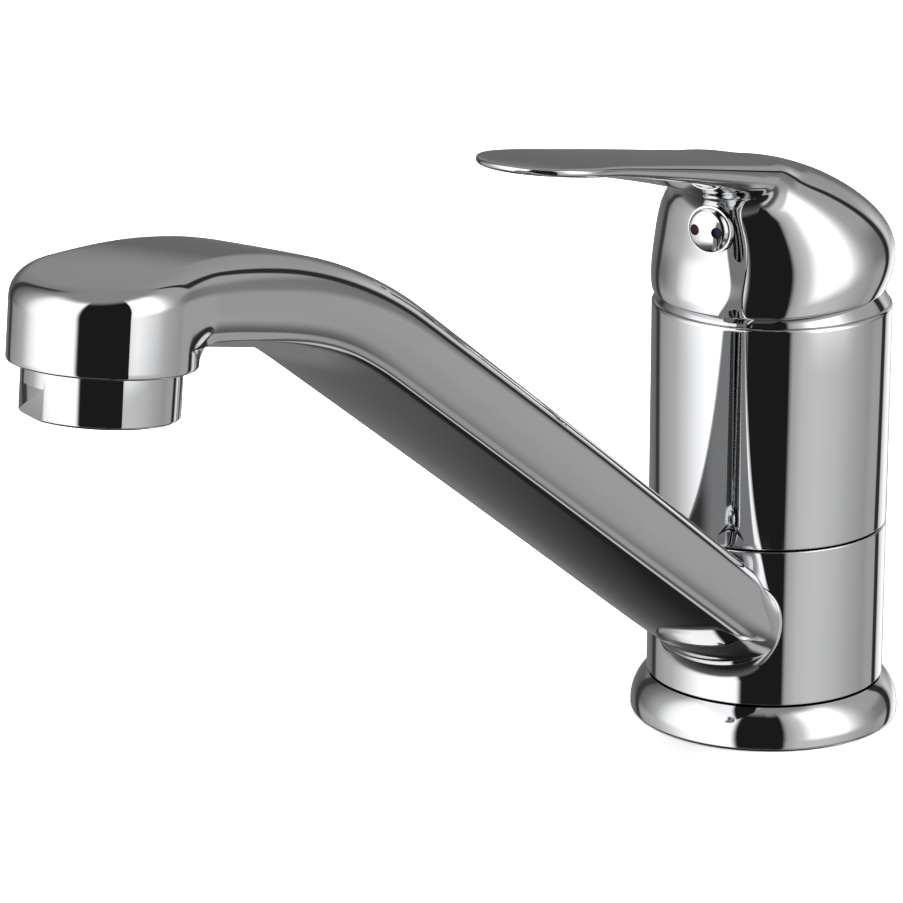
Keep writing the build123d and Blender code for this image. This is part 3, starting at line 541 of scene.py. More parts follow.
def wall_between(top, foot):
    """Column down a side; where the foot is tucked in, the lower part curves to it."""
    column = []
    for i in range(WALL_STEPS + 1):
        share = i / WALL_STEPS
        tucked = max(0.0, (share - TUCK_START) / (1 - TUCK_START)) ** 2
        column.append((top[0] + (foot[0] - top[0]) * tucked, *between(top[1:], foot[1:], share)))
    return column


def head_skirt(turned, height):
    """Column down the head's round wall from a height to the rounded rim."""
    wall_end = head_round(HEAD_R, turned, RIM_ROUND)
    wall = line(head_round(HEAD_R, turned, height), wall_end, SKIRT_STEPS)[:-1]
    corner, rim = head_round(HEAD_R, turned, 0.0), head_round(HEAD_R - RIM_ROUND, turned, 0.0)
    return wall + corner_round(wall_end, corner, rim, RIM_STEPS)


def heel_side_height():
    """Height above the rim at which the arm's lower edge meets the head."""
    foot = head_round(HEAD_R, NECK_TURN, 0.0)
    top_u = top_above(foot)
    drop = chine_below(top_u, HEAD_TILT)
    return (arm_top(top_u) - drop * cos(HEAD_TILT) - foot[2]) / cos(HEAD_TILT)


HEEL_SIDE_HEIGHT = heel_side_height()
HEEL_LEVEL = arm_chine(HEEL_U) - belly(HEEL_U)
HEEL_REAR_HEIGHT = (HEEL_LEVEL - HEAD_Z + HEAD_R * sin(HEAD_TILT)) / cos(HEAD_TILT)


def heel_share(x):
    """How far across the head's back a point lies, from its middle to where the neck begins."""
    return min(1.0, x / (HEAD_R * sin(NECK_TURN)))


def heel_height(x):
    """Height above the rim at which the underside meets the head's round back."""
    return HEEL_REAR_HEIGHT + (HEEL_SIDE_HEIGHT - HEEL_REAR_HEIGHT) * heel_share(x) ** 2


def heel_fillet(x):
    """Fillet between underside and head, which runs out at the sides."""
    return min(HEEL_FILLET, heel_height(x) / 2) * smoothstep(1 - heel_share(x), 0.0, HEEL_RUN_OUT)


def under_row(edge, edge_round, wall_up, middle):
    """Row from a lower edge, rounded, across the underside to the middle."""
    fine = []
    for i in range(ROW_STEPS + 1):
        share = 1 - (i / ROW_STEPS) ** 2
        x = edge[0] * share
        u = edge[1] + (middle[1] - edge[1]) * sqrt(1 - share**2)
        z = edge[2] + (middle[2] - edge[2]) * (1 - share**2)
        size = heel_fillet(x)
        away = min(size, max(0.0, hypot(x, (u - HEAD_U) / cos(HEAD_TILT)) - HEAD_R))
        fine.append((x, u, z - size + sqrt(size**2 - (size - away) ** 2)))
    lengths = [0.0]
    for a, b in zip(fine, fine[1:]):
        lengths.append(lengths[-1] + hypot(hypot(b[0] - a[0], b[1] - a[1]), b[2] - a[2]))

    def at(length):
        i = max(1, next(n for n, far in enumerate(lengths) if far >= min(length, lengths[-1]) - TINY))
        return between(fine[i - 1], fine[i], (length - lengths[i - 1]) / (lengths[i] - lengths[i - 1]))

    start = tuple(p + edge_round * d for p, d in zip(edge, wall_up))
    row = corner_round(start, edge, at(edge_round), EDGE_STEPS)
    for i in range(1, UNDER_STEPS):
        row.append(at(edge_round + (lengths[-1] - edge_round) * i / UNDER_STEPS))
    return row + [fine[-1]]


def half_ring(u, half, inward, lean, arm_share, middle_u=None):
    """Half ring of arm or neck: top, rounded edge, side wall, lower edge and underside."""
    strip = top_strip(u, half, *inward, lean)
    drop = chine_below(u, lean)
    edge_u = u + drop * sin(lean)
    edge = (half - WALL_TUCK * arm_share, edge_u, arm_top(u) - drop * cos(lean))
    if middle_u is None:
        middle_u = edge_u - (NECK_U - HEEL_U + NECK_LAG) * smoothstep(edge_u, LAG_START, NECK_U)
    middle = (0.0, middle_u, arm_chine(middle_u) - belly(middle_u))
    row = under_row(edge, EDGE_ROUND * arm_share, (0.0, -sin(lean), cos(lean)), middle)
    return strip, wall_between(strip[-1], row[0]), row


def neck_station(step):
    """Half ring round the neck, whose side is a hollow fillet from the head to the arm."""
    turned = NECK_TURN + (pi / 2 - NECK_TURN) * step / NECK_STEPS
    across = NECK_HALF + NECK_FILLET - NECK_FILLET * sin(turned)
    u = top_above(head_point(-NECK_BACK - NECK_FILLET * cos(turned), across, 0.0))
    middle_u = HEEL_U - NECK_LAG * (step / NECK_STEPS) ** NECK_LAG_POWER
    arm_share = smoothstep(step, 0, NECK_STEPS)
    return half_ring(u, across, (-cos(turned), -sin(turned)), HEAD_TILT, arm_share, middle_u)


def arm_station(u):
    """Half ring round the arm, whose sides lean square to its crown line."""
    slope = (arm_top(u + SLOPE_STEP) - arm_top(u - SLOPE_STEP)) / (2 * SLOPE_STEP)
    lean = max(atan2(slope, 1.0), HEAD_TILT)
    return half_ring(u, half_width(u), (0.0, -1.0), lean, arm_share=1.0)


def collar_frame():
    """Half edge of the collar's unrolled face: top, back and foot."""
    low, high = COLLAR_LOW + COLLAR_EDGE, COLLAR_HIGH - COLLAR_EDGE
    half = pi * BODY_R
    edge = [(half * i / COLLAR_STEPS, high) for i in range(COLLAR_STEPS)]
    edge += [(half, high + (low - high) * i / COLLAR_RISE_STEPS) for i in range(COLLAR_RISE_STEPS)]
    return edge + [(half * (1 - i / COLLAR_STEPS), low) for i in range(COLLAR_STEPS + 1)]


def on_collar(along, z):
    """Point of the collar's wall from its unrolled place."""
    turned = along / BODY_R
    return (BODY_R * sin(turned), BODY_R * cos(turned), z)


def on_to_collar(point, run):
    """Where a line from a point of the arm meets the collar."""
    point = Vector(point)
    for _ in range(SOLVE_ROUNDS):
        point += run * (hypot(point.x, point.y) - BODY_R)
    return tuple(point)


def with_mirrored_ends(half):
    """Half loop with the mirrored neighbours of its two ends."""
    return [(-half[1][0], half[1][1]), *half, (-half[-2][0], half[-2][1])]


def hub_rows(previous, last):
    """Rows from the arm's last half ring over a fillet on to the collar."""
    runs = [(Vector(b) - Vector(a)).normalized() for a, b in zip(previous, last)]
    ends = [on_to_collar(point, run) for point, run in zip(last, runs)]
    flat = [(BODY_R * atan2(p[0], p[1]), p[2]) for p in ends]
    for _ in range(HUB_EASING):
        loop = with_mirrored_ends(flat)
        flat = [between(b, between(a, c, 0.5), 0.5) for a, b, c in zip(loop, loop[1:], loop[2:])]
    loop = with_mirrored_ends(flat)
    fillet, landed = [], []
    for i, (along, z) in enumerate(flat):
        run_along, run_z = loop[i + 2][0] - loop[i][0], loop[i + 2][1] - loop[i][1]
        out_along, out_z = -run_z / hypot(run_along, run_z), run_along / hypot(run_along, run_z)
        offset = HUB_FILLET + HUB_FILLET_UNDER * max(0.0, -out_z) ** HUB_UNDER_POWER
        corner = on_collar(along, z)
        landed.append((along + out_along * offset, z + out_z * offset))
        arm_end = tuple(Vector(corner) - runs[i] * offset)
        fillet.append(corner_round(arm_end, corner, on_collar(*landed[-1]), HUB_FILLET_STEPS))
    rows = [last]
    for j in range(1, HUB_STEPS):
        share = j / HUB_STEPS
        row = []
        for point, run, curve in zip(last, runs, fillet):
            gap = Vector(curve[0]) - Vector(point)
            ahead = run * gap.dot(run)
            aside = (gap - ahead) * smoothstep(share, 0.0, 1.0)
            row.append(tuple(Vector(point) + ahead * share + aside))
        rows.append(row)
    rows += [[curve[j] for curve in fillet] for j in range(HUB_FILLET_STEPS + 1)]
    for j in range(1, COLLAR_ROWS + 1):
        share = (j / COLLAR_ROWS) ** COLLAR_CROWDING
        rows.append([on_collar(*between(a, b, share)) for a, b in zip(landed, collar_frame())])
    return rows


def collar_rows():
    """Rows over the collar's upper edge, through its bore and round its lower edge."""
    edge_r = BODY_R - COLLAR_EDGE
    profile = [
        *arc((edge_r, COLLAR_HIGH - COLLAR_EDGE), COLLAR_EDGE, 0, 90, steps=4),
        (COLLAR_BORE, COLLAR_HIGH), (COLLAR_BORE, COLLAR_LOW),
        *arc((edge_r, COLLAR_LOW + COLLAR_EDGE), COLLAR_EDGE, -90, 0, steps=4),
    ]
    turns = [pi * i / COLLAR_STEPS for i in range(COLLAR_STEPS + 1)]
    return [[(radius * sin(turned), radius * cos(turned), z) for turned in turns] for radius, z in profile]


def collar_normals(p):
    """Directions square to the collar's wall, and which points lie on it."""
    close = 0.003
    reach = np.hypot(p[:, 0], p[:, 1])
    on_wall = (np.abs(reach - BODY_R) < close) & (p[:, 2] > COLLAR_LOW) & (p[:, 2] < COLLAR_HIGH)
    return np.stack([p[:, 0] / reach, p[:, 1] / reach, np.zeros(len(p))], axis=1), on_wall


def aerator_seat(rim_loop):
    """Rows from the rim's edge over its flat into the threaded hole and the chamber."""
    profile = [
        ((HEAD_R + AERATOR_HOLE_R) / 2, 0.0),
        (AERATOR_HOLE_R + AERATOR_HOLE_CHAMFER, 0.0),
        (AERATOR_HOLE_R, AERATOR_HOLE_CHAMFER), (AERATOR_HOLE_R, AERATOR_HOLE_DEPTH),
        (CHAMBER_R, AERATOR_HOLE_DEPTH), (CHAMBER_R, CHAMBER_DEPTH), (0.0, CHAMBER_DEPTH),
    ]
    columns = []
    for x, u, z in rim_loop:
        turned = atan2(x, (u - HEAD_U) / cos(HEAD_TILT))
        columns.append([(x, u, z)] + [head_round(radius, turned, height) for radius, height in profile])
    return columns


def make_spout():
    """Cast spout, laid out as rows over its +x half."""
    strips, walls, skirts = [], [], []
    for i in range(HEAD_STEPS):
        turned = NECK_TURN * i / HEAD_STEPS
        top_u = top_above(head_round(HEAD_R, turned, 0.0))
        strip = top_strip(top_u, HEAD_R * sin(turned), -cos(turned), -sin(turned), HEAD_TILT)
        strips.append(strip)
        foot = head_round(HEAD_R, turned, HEEL_SIDE_HEIGHT)
        walls.append(line(strip[-1], foot, WALL_STEPS))
        skirts.append(head_skirt(turned, HEEL_SIDE_HEIGHT))

    stations = [neck_station(step) for step in range(NECK_STEPS + 1)]
    u = top_above(head_point(-NECK_BACK, NECK_HALF, 0.0))
    for gap in ARM_GAPS:
        u -= gap
        stations.append(arm_station(u))
    strips += [station[0] for station in stations]
    walls += [station[1] for station in stations]

    rear_row = []
    for i in range(EDGE_STEPS + UNDER_STEPS + 1):
        turned = NECK_TURN + (pi - NECK_TURN) * i / (EDGE_STEPS + UNDER_STEPS)
        across = HEAD_R * sin(turned)
        column = head_skirt(turned, heel_height(across) - heel_fillet(across))
        rear_row.append(column[0])
        skirts.append(column)
    under = [rear_row] + [station[2] for station in stations[1:]]

    hub = hub_rows(*[strip + wall[1:] + row[1:] for strip, wall, row in stations[-2:]])
    seat = aerator_seat([column[-1] for column in skirts])
    piece = skin("cast_spout", [strips, walls, skirts, under, seat, hub, collar_rows()])
    smooth(piece, angle=35)
    true_normals(piece, collar_normals)
    place(piece, "swivel_spout", "chrome_plate", "spout")


def make_aerator():
    """Threaded outlet ring with two wrench flats, turned upright and then tilted into the head."""
    round_z = AERATOR_ROUND - AERATOR_DROP
    profile = [
        (AERATOR_THREAD_R, AERATOR_THREAD), (AERATOR_THREAD_R, 0.0),
        (AERATOR_R - AERATOR_CHAMFER, 0.0), (AERATOR_R, -AERATOR_CHAMFER),
        *arc((AERATOR_R - AERATOR_ROUND, round_z), AERATOR_ROUND, 0, -90, steps=5),
        *arc((AERATOR_LIP_R + AERATOR_ROUND, round_z), AERATOR_ROUND, -90, -180, steps=4),
        (AERATOR_LIP_R, AERATOR_LIP - AERATOR_DROP),
        (AERATOR_BORE, AERATOR_LIP - AERATOR_DROP),
        (AERATOR_BORE, AERATOR_THREAD),
    ]
    piece = turn("outlet_ring", profile)
    out = (AERATOR_FLAT + FLAT_CUTTER_DEPTH) / 2
    for side in (0, pi):
        turned = side - AERATOR_FLAT_TURN
        bpy.ops.mesh.primitive_cube_add(
            size=1,
            location=(out * sin(turned) * MM, -out * cos(turned) * MM, -AERATOR_DROP * MM),
            rotation=(0, 0, turned),
            scale=(FLAT_CUTTER_WIDTH * MM, FLAT_CUTTER_DEPTH * MM, 2 * AERATOR_FLAT_HEIGHT * MM),
        )
        cut(piece, bpy.context.object)
    piece.location = (0, -HEAD_U * MM, HEAD_Z * MM)
    piece.rotation_euler = (-HEAD_TILT, 0, 0)
    settle(piece)
    smooth(piece, angle=30)
    place(piece, "swivel_spout", "chrome_plate", "aerator_housing")


# Handle sizes: rings of the leaning dome as height above the cup, radius and forward shift
DOME_RINGS = [
    (1.4, 21.3, 1.8), (3.9, 22.05, 1.15), (8.4, 22.65, -0.25), (13.3, 21.75, 0.3), (17.1, 20.3, 1.95),
    (20.8, 17.8, 4.9), (24.8, 13.7, 8.3), (28.0, 8.3, 11.8), (29.4, 3.2, 13.8),
]
DOME_DEGREE = 5
ring_height, ring_radius, ring_shift = np.array(DOME_RINGS).T
dome_square = np.polyfit(ring_height, ring_radius**2, DOME_DEGREE)
dome_shift = np.polyfit(ring_height, ring_shift, DOME_DEGREE)
LEVER_HALF, LEVER_ROOT_U, LEVER_HEEL_U, LEVER_TIP_U = 12.0, 10.0, 18.0, 89.8
LEVER_ROOT_LEVEL, LEVER_RISE = 110.3, 0.198
LEVER_EASE, LEVER_EASE_START, LEVER_EASE_FULL = 0.1, 48.0, 25.0
LEVER_DROOP, LEVER_DROOP_START, LEVER_DROOP_RUN = 1.4, 68.0, 22.0
LEVER_TIP_THICK, LEVER_THICKEN, LEVER_FLARE = 2.0, 0.042, 0.00057
LEVER_EDGE_SHARE, LEVER_EDGE_ROUND, LEVER_CROWN, LEVER_FLAT_LEAST = 0.62, 0.45, 0.25, 0.6
LEVER_BLEND_MIDDLE, LEVER_BLEND_TOP, LEVER_BLEND_UNDER = 0.8, 4.0, 5.5
BLEND_ASIDE_START, BLEND_ASIDE_FULL, BLEND_UNDER_DEPTH = 2.0, 11.0, 6.0
SKIRT_LEVEL, SKIRT_FALL, CAVITY_R = 84.25, 0.0471, 25.37
# The skirt's rounded edge as steps of inset and drop
SKIRT_EDGE = [(0.1, 0.25), (0.25, 0.1)]
PLUG_Z, PLUG_R, PLUG_FACE_U, PLUG_DEPTH, PLUG_SINK, PLUG_GAP = 99.0, 4.5, 24.5, 6.2, 0.3, 0.15
PLUG_BULGE, PLUG_RIM, PLUG_FACE_LEAN, PLUG_FACE_START, PLUG_CUT = 0.65, 1.2, 17, 88, 8.0
DOT_X, DOT_R, DOT_CUT = 2.3, 1.03, 3.0
# First lay of the handle's rows: pole of the dome, corners of the lever's root and how it curves
POLE, TOP_CORNER, LOW_CORNER = (0.0, 13.5, 111.0), (11.6, 12.0, 108.5), (12.3, 16.7, 103.1)
CREST_REACH, UNDER_REACH, UNDER_RISE, SIDE_BULGE = 11.0, 5.7, 1.7, 0.9
LEVER_RUN_IN, LEVER_CROWDING, NOSE_LENGTH, NOSE_BULGE = 17.0, 0.9, 1.0, 0.9
CAP_STEPS, SIDE_STEPS, POLE_STEPS, FRONT_STEPS, BACK_STEPS = 20, 10, 12, 26, 36
LEVER_STEPS, RUN_IN_STEPS, HOLLOW_STEPS = 46, 6, 14
RELAX_ROUNDS, RELAX_SHARE, STEEPNESS_LEAST, LONGEST_MOVE = 14, 0.5, 0.05, 1.5


def lever_thickness(u):
    back = LEVER_TIP_U - u
    return LEVER_TIP_THICK + LEVER_THICKEN * back + LEVER_FLARE * back**2


def lever_top(u):
    """Level of the lever's top, eased down at the dome and drooping to the tip."""
    level = LEVER_ROOT_LEVEL + (u - LEVER_ROOT_U) * LEVER_RISE
    eased = LEVER_EASE * smoothstep(u, LEVER_EASE_START, LEVER_EASE_FULL)
    return level - eased - LEVER_DROOP * np.clip((u - LEVER_DROOP_START) / LEVER_DROOP_RUN, 0, 1) ** 2


def dome_distance(p):
    """Distance from the leaning dome, for points as columns x, u, z."""
    height = p[:, 2] - CUP_HIGH
    ahead = p[:, 1] - np.polyval(dome_shift, height)
    lean = np.polyval(np.polyder(dome_shift), height)
    value = p[:, 0] ** 2 + ahead**2 - np.polyval(dome_square, height)
    rise = -2 * ahead * lean - np.polyval(np.polyder(dome_square), height)
    return value / np.sqrt(4 * p[:, 0] ** 2 + 4 * ahead**2 + rise**2)


def lever_distance(p):
    """Distance from the lever, a round-ended blade that thickens towards the dome."""
    x, u, z = p.T
    spine = np.clip(u, LEVER_HEEL_U, LEVER_TIP_U - LEVER_HALF)
    aside = np.hypot(x, u - spine)
    outer = np.clip(aside / LEVER_HALF, 0, 1) ** 2
    thick = lever_thickness(u) * (1 - (1 - LEVER_EDGE_SHARE) * outer)
    middle = lever_top(u) - thick / 2 - LEVER_CROWN * outer
    edge = LEVER_EDGE_ROUND * thick
    out = aside - LEVER_HALF + edge
    over = np.abs(z - middle) - thick / 2 + edge
    inside = np.minimum(np.maximum(out, over), 0)
    return np.hypot(np.maximum(out, 0), np.maximum(over, 0)) - edge + inside


def handle_distance(p):
    """Dome and lever run together."""
    dome, lever = dome_distance(p), lever_distance(p)
    below = smoothstep(p[:, 2], LEVER_ROOT_LEVEL, LEVER_ROOT_LEVEL - BLEND_UNDER_DEPTH)
    aside = smoothstep(np.abs(p[:, 0]), BLEND_ASIDE_START, BLEND_ASIDE_FULL)
    top = LEVER_BLEND_MIDDLE + (LEVER_BLEND_TOP - LEVER_BLEND_MIDDLE) * aside
    blend = top + (LEVER_BLEND_UNDER - top) * below
    share = np.clip(0.5 + (lever - dome) / (2 * blend), 0, 1)
    return lever * (1 - share) + dome * share - blend * share * (1 - share)


def handle_slope(p):
    """Slope of the handle's distance at points."""
    steps = SLOPE_STEP * np.eye(3)
    rises = [handle_distance(p + step) - handle_distance(p - step) for step in steps]
    return np.stack(rises, axis=1) / (2 * SLOPE_STEP)


def on_handle(p, rounds):
    """Points moved on to the handle's surface."""
    for _ in range(rounds):
        slope = handle_slope(p)
        move = handle_distance(p) / np.maximum((slope**2).sum(1), STEEPNESS_LEAST)
        p = p - np.clip(move, -LONGEST_MOVE, LONGEST_MOVE)[:, None] * slope
    return p


def handle_normals(p):
    """Directions square to the handle's outside, and which points lie on it."""
    close = 0.02
    slope = handle_slope(p)
    steepness = np.maximum(np.sqrt((slope**2).sum(1)), TINY)
    return slope / steepness[:, None], np.abs(handle_distance(p)) < close


def dome_point(turned, z):
    """Point of the dome at an angle from the front."""
    radius = sqrt(max(0.0, np.polyval(dome_square, z - CUP_HIGH)))
    shift = np.polyval(dome_shift, z - CUP_HIGH)
    return (radius * sin(turned), shift + radius * cos(turned), z)


def dome_turn(point):
    """Angle from the front of a point on the dome."""
    x, u, z = point
    return atan2(x, u - np.polyval(dome_shift, z - CUP_HIGH))


def skirt_point(turned):
    """Point of the skirt's edge, which falls towards the front."""
    z = SKIRT_LEVEL
    for _ in range(SOLVE_ROUNDS):
        z = SKIRT_LEVEL - SKIRT_FALL * dome_point(turned, z)[1]
    return dome_point(turned, z)


def handle_root():
    """Half ring where the lever leaves the dome: over the crest, down the side, below."""
    over, side, under = [], [], []
    for i in range(CAP_STEPS + 1):
        turned = pi / 2 * i / CAP_STEPS
        x, u, z = TOP_CORNER
        u += CREST_REACH * cos(turned)
        level = lever_top(u)
        over.append((x * sin(turned), u, level + (z - level) * sin(turned) ** 2))
        x, u, z = LOW_CORNER
        under.append((x * cos(turned), u + UNDER_REACH * sin(turned), z + UNDER_RISE * i / CAP_STEPS))
    for i in range(SIDE_STEPS + 1):
        x, u, z = between(TOP_CORNER, LOW_CORNER, i / SIDE_STEPS)
        side.append((x + SIDE_BULGE * sin(pi * i / SIDE_STEPS), u, z))
    return over, side, under


def lever_ring(u):
    """Half ring round the lever: top, edge, underside."""
    half = LEVER_HALF
    if u > LEVER_TIP_U - LEVER_HALF:
        half = sqrt(LEVER_HALF**2 - (u - LEVER_TIP_U + LEVER_HALF) ** 2)
    thick = lever_thickness(u)
    flat = max(half - thick / 2, half * LEVER_FLAT_LEAST)
    middle = lever_top(u) - thick / 2
    ring = [(flat * i / CAP_STEPS, u, middle + thick / 2) for i in range(CAP_STEPS)]
    for i in range(SIDE_STEPS + 1):
        turned = pi * (0.5 - i / SIDE_STEPS)
        ring.append((flat + (half - flat) * cos(turned), u, middle + thick / 2 * sin(turned)))
    return ring + [(flat * (1 - i / CAP_STEPS), u, middle - thick / 2) for i in range(1, CAP_STEPS + 1)]


def lever_rows(root):
    """Half rings from the lever's root to its nose."""
    start, end = LEVER_ROOT_U + LEVER_RUN_IN, LEVER_TIP_U - NOSE_LENGTH
    rings = []
    for i in range(LEVER_STEPS + 1):
        share = sin(pi / 2 * i / LEVER_STEPS) ** LEVER_CROWDING
        rings.append(lever_ring(start + (end - start) * share))
    run_in = []
    for i in range(RUN_IN_STEPS):
        run_in.append([between(a, b, i / RUN_IN_STEPS) for a, b in zip(root, rings[0])])
    return run_in + rings


def nose_rows(last):
    """Rows that close the lever's tip, from its top edge to its lower edge."""
    rows = []
    for j in range(SIDE_STEPS + 1):
        side_x, tip_u, level = last[CAP_STEPS + j]
        row = []
        for i in range(CAP_STEPS + 1):
            share = (i / CAP_STEPS) ** 2
            x = last[i][0] + (side_x - last[CAP_STEPS][0]) * share
            row.append((x, tip_u + NOSE_BULGE * (1 - share) * sin(pi * j / SIDE_STEPS), level))
        rows.append(row)
    return rows


def front_rows(under, last_turn):
    """Columns down the dome's front, from below the lever to the skirt."""
    rows = []
    for i, top in enumerate(reversed(under)):
        turned = last_turn * i / CAP_STEPS
        fall = skirt_point(turned)[2] - top[2]
        column = [dome_point(turned, top[2] + fall * j / FRONT_STEPS) for j in range(1, FRONT_STEPS + 1)]
        rows.append([top] + column)
    return rows


def back_rows(edge, first_turn):
    """Columns from the pole down the dome's side and back."""
    front_foot = edge[-1][2]
    rows = [edge]
    for i in range(1, BACK_STEPS + 1):
        share = i / BACK_STEPS
        foot = skirt_point(first_turn + (pi - first_turn) * share)
        stretch = (POLE[2] - foot[2]) / (POLE[2] - front_foot)
        column = []
        for point in edge[POLE_STEPS:-1]:
            start = dome_turn(point)
            level = foot[2] + (point[2] - front_foot) * stretch
            column.append(dome_point(start + (pi - start) * share, level))
        column = line(POLE, column[0], POLE_STEPS)[:-1] + column + [foot]
        rows.append([(abs(x) if i < BACK_STEPS else 0.0, u, z) for x, u, z in column])
    return rows


def handle_patches():
    """First lay of the rows over dome and lever; relaxing brings them on to the surface."""
    over, side, under = handle_root()
    lever = lever_rows(over[:-1] + side + under[1:])
    low_turn = dome_turn(LOW_CORNER)
    front = front_rows(under, low_turn)
    spoke = line(POLE, TOP_CORNER, POLE_STEPS)[:-1]
    back = back_rows(spoke + side + front[-1][1:], low_turn)
    crest = [line(POLE, point, POLE_STEPS) for point in over]
    return [lever, nose_rows(lever[-1]), front, back, crest]


def relax_on_handle(piece):
    """Spreads the vertices evenly over the handle's surface; the skirt's edge stays."""
    mesh = piece.data
    p = read(mesh.vertices, "co", 3) / MM * FORWARDS
    ends = read(mesh.edges, "vertices", 2, int)
    faces_at = np.bincount(read(mesh.loops, "edge_index", 1, int)[:, 0])
    loose = np.ones(len(p), dtype=bool)
    loose[ends[faces_at == 1]] = False
    neighbours = np.bincount(ends.ravel())
    for _ in range(RELAX_ROUNDS):
        total = np.zeros_like(p)
        np.add.at(total, ends[:, 0], p[ends[:, 1]])
        np.add.at(total, ends[:, 1], p[ends[:, 0]])
        eased = p + RELAX_SHARE * (total / neighbours[:, None] - p)
        p[loose] = on_handle(eased, rounds=2)[loose]
    p[loose] = on_handle(p, rounds=6)[loose]
    mesh.vertices.foreach_set("co", (p * FORWARDS * MM).ravel())
    mesh.update()


def extrude_rim(bm, rim):
    """Draws the edges of a rim out; returns the new vertices and the new rim."""
    drawn = bmesh.ops.extrude_edge_only(bm, edges=rim)["geom"]
    verts = [part for part in drawn if isinstance(part, bmesh.types.BMVert)]
    return verts, [part for part in drawn if isinstance(part, bmesh.types.BMEdge)]


def close_handle(piece):
    """Rounds the skirt's edge and lines the dome with its spherical hollow."""
    bm = bmesh.new()
    bm.from_mesh(piece.data)
    rim = [edge for edge in bm.edges if edge.is_boundary]
    for inset, drop in SKIRT_EDGE:
        verts, rim = extrude_rim(bm, rim)
        for vert in verts:
            reach = hypot(vert.co.x, vert.co.y)
            vert.co.x -= vert.co.x / reach * inset * MM
            vert.co.y -= vert.co.y / reach * inset * MM
            vert.co.z -= drop * MM
    level = SKIRT_LEVEL - sum(drop for inset, drop in SKIRT_EDGE) - PIVOT_Z
    fall = SKIRT_FALL * sqrt(CAVITY_R**2 - level**2)
    for i in range(HOLLOW_STEPS + 1):
        verts, rim = extrude_rim(bm, rim)
        for vert in verts:
            turned = atan2(vert.co.x, -vert.co.y)
            low = asin((level - fall * cos(turned)) / CAVITY_R)
            up = low + (pi / 2 - low) * i / HOLLOW_STEPS
            reach = CAVITY_R * cos(up)
            z = PIVOT_Z + CAVITY_R * sin(up)
            vert.co = (reach * sin(turned) * MM, -reach * cos(turned) * MM, z * MM)
    bm.to_mesh(piece.data)
    bm.free()
    edit(piece)
    weld()
    leave_edit()


def make_handle():
    """Hollow dome and lever in one casting, with the hole for the plug."""
    piece = skin("dome_lever", handle_patches())
    relax_on_handle(piece)
    close_handle(piece)
    length = PLUG_DEPTH + PLUG_CUT
    centre = (0.0, -(PLUG_FACE_U - PLUG_DEPTH + length / 2), PLUG_Z)
    bore(piece, centre, PLUG_R + PLUG_GAP, length, (pi / 2, pi / PLUG_SIDES, 0), PLUG_SIDES)
    smooth(piece, angle=40)
    true_normals(piece, handle_normals)
    place(piece, "handle", "chrome_plate", "handle_lever")


def make_plug():
    """Round button under the lever, with two recesses for the coloured marks."""
    lean = radians(PLUG_FACE_LEAN)
    face_r = (PLUG_R - PLUG_RIM) / sin(lean)
    face = arc((0.0, PLUG_BULGE - face_r), face_r, PLUG_FACE_START, 90 - PLUG_FACE_LEAN, steps=10)
    rim_r, rim_z = face[-1][0] - PLUG_RIM * sin(lean), face[-1][1] - PLUG_RIM * cos(lean)
    profile = [
        (POLE_R, PLUG_BULGE),
        *face,
        *arc((rim_r, rim_z), PLUG_RIM, 90 - PLUG_FACE_LEAN, 0, steps=8)[1:],
        (PLUG_R, rim_z), (PLUG_R, -PLUG_DEPTH), (POLE_R, -PLUG_DEPTH),
    ]
    piece = turn("mark_button", profile, PLUG_SIDES)
    for x in (-DOT_X, DOT_X):
        bore(piece, (x, 0.0, 0.0), DOT_R, DOT_CUT)
    piece.location = (0, -(PLUG_FACE_U - PLUG_SINK) * MM, PLUG_Z * MM)
    piece.rotation_euler = (pi / 2, 0, 0)
    settle(piece)
    smooth(piece, angle=30)
    place(piece, "handle", "plated_plastic", "indicator_plug")


make_flange()
make_body()
make_cap()
make_spout()
make_aerator()
make_handle()
make_plug()

# Studio, in metres; directions in degrees, round from the camera's side and up from level
CAMERA_PLACE, CAMERA_TILT, CAMERA_TURN = (0.40617, -0.70351, 0.30485), 72.593, 34.224
CAMERA_LENS, CAMERA_SENSOR = 179.40, 36.0
FLOOR_SIZE, FLOOR_GREY, FLOOR_CLOUD = 6.0, 0.9, 0.01
FLAG_NEAR, FLAG_FAR, FLAG_LOW, FLAG_HIGH = (0.325, -0.332), (0.40, -0.60), -0.35, 1.6
LIGHT_PLACE, LIGHT_SIZE, LIGHT_WATTS = (0.1, -0.2, 1.9), 3.2, 120.0
BLACK, CEILING = 0.014, 0.3
MID_RISE, HIGH_RISE, CEILING_RISE, UNDER_SINK = (-15, -4), (5, 18), (50, 68), (-28, -39)
GLINT_SIDE = (0.15, 0.35)
# The room's brightness round three levels, and below
LOW_ROUND = [
    (-180, 0.2), (-158, 0.2), (-144, 0.16), (-141, 0.05), (-134, 0.05), (-131, 0.32), (-127, 0.38),
    (-101, 0.56), (-88, 0.8), (-76, 1.1), (-58, 1.45), (-28, 1.45), (-25, 0.9), (-22, BLACK),
    (17, BLACK), (20.5, 0.44), (31, 0.62), (47, 0.68), (68, 0.61), (87, 0.48), (109, 0.37), (117, 0.42),
    (129, 0.42), (131, 0.03), (138, 0.03), (141, 0.7), (145, 0.9), (156, 1.3), (163, 1.0), (172, 0.2),
    (180, 0.2),
]
SOFT_BOXES = [
    (-88, 1.15), (-70, 1.5), (-28, 1.5), (-25, 0.9), (-22, BLACK), (17, BLACK), (21, 0.42), (34, 0.75),
    (41, 1.3), (48, 1.6), (74, 1.6), (83, 0.98), (90, 0.64),
]
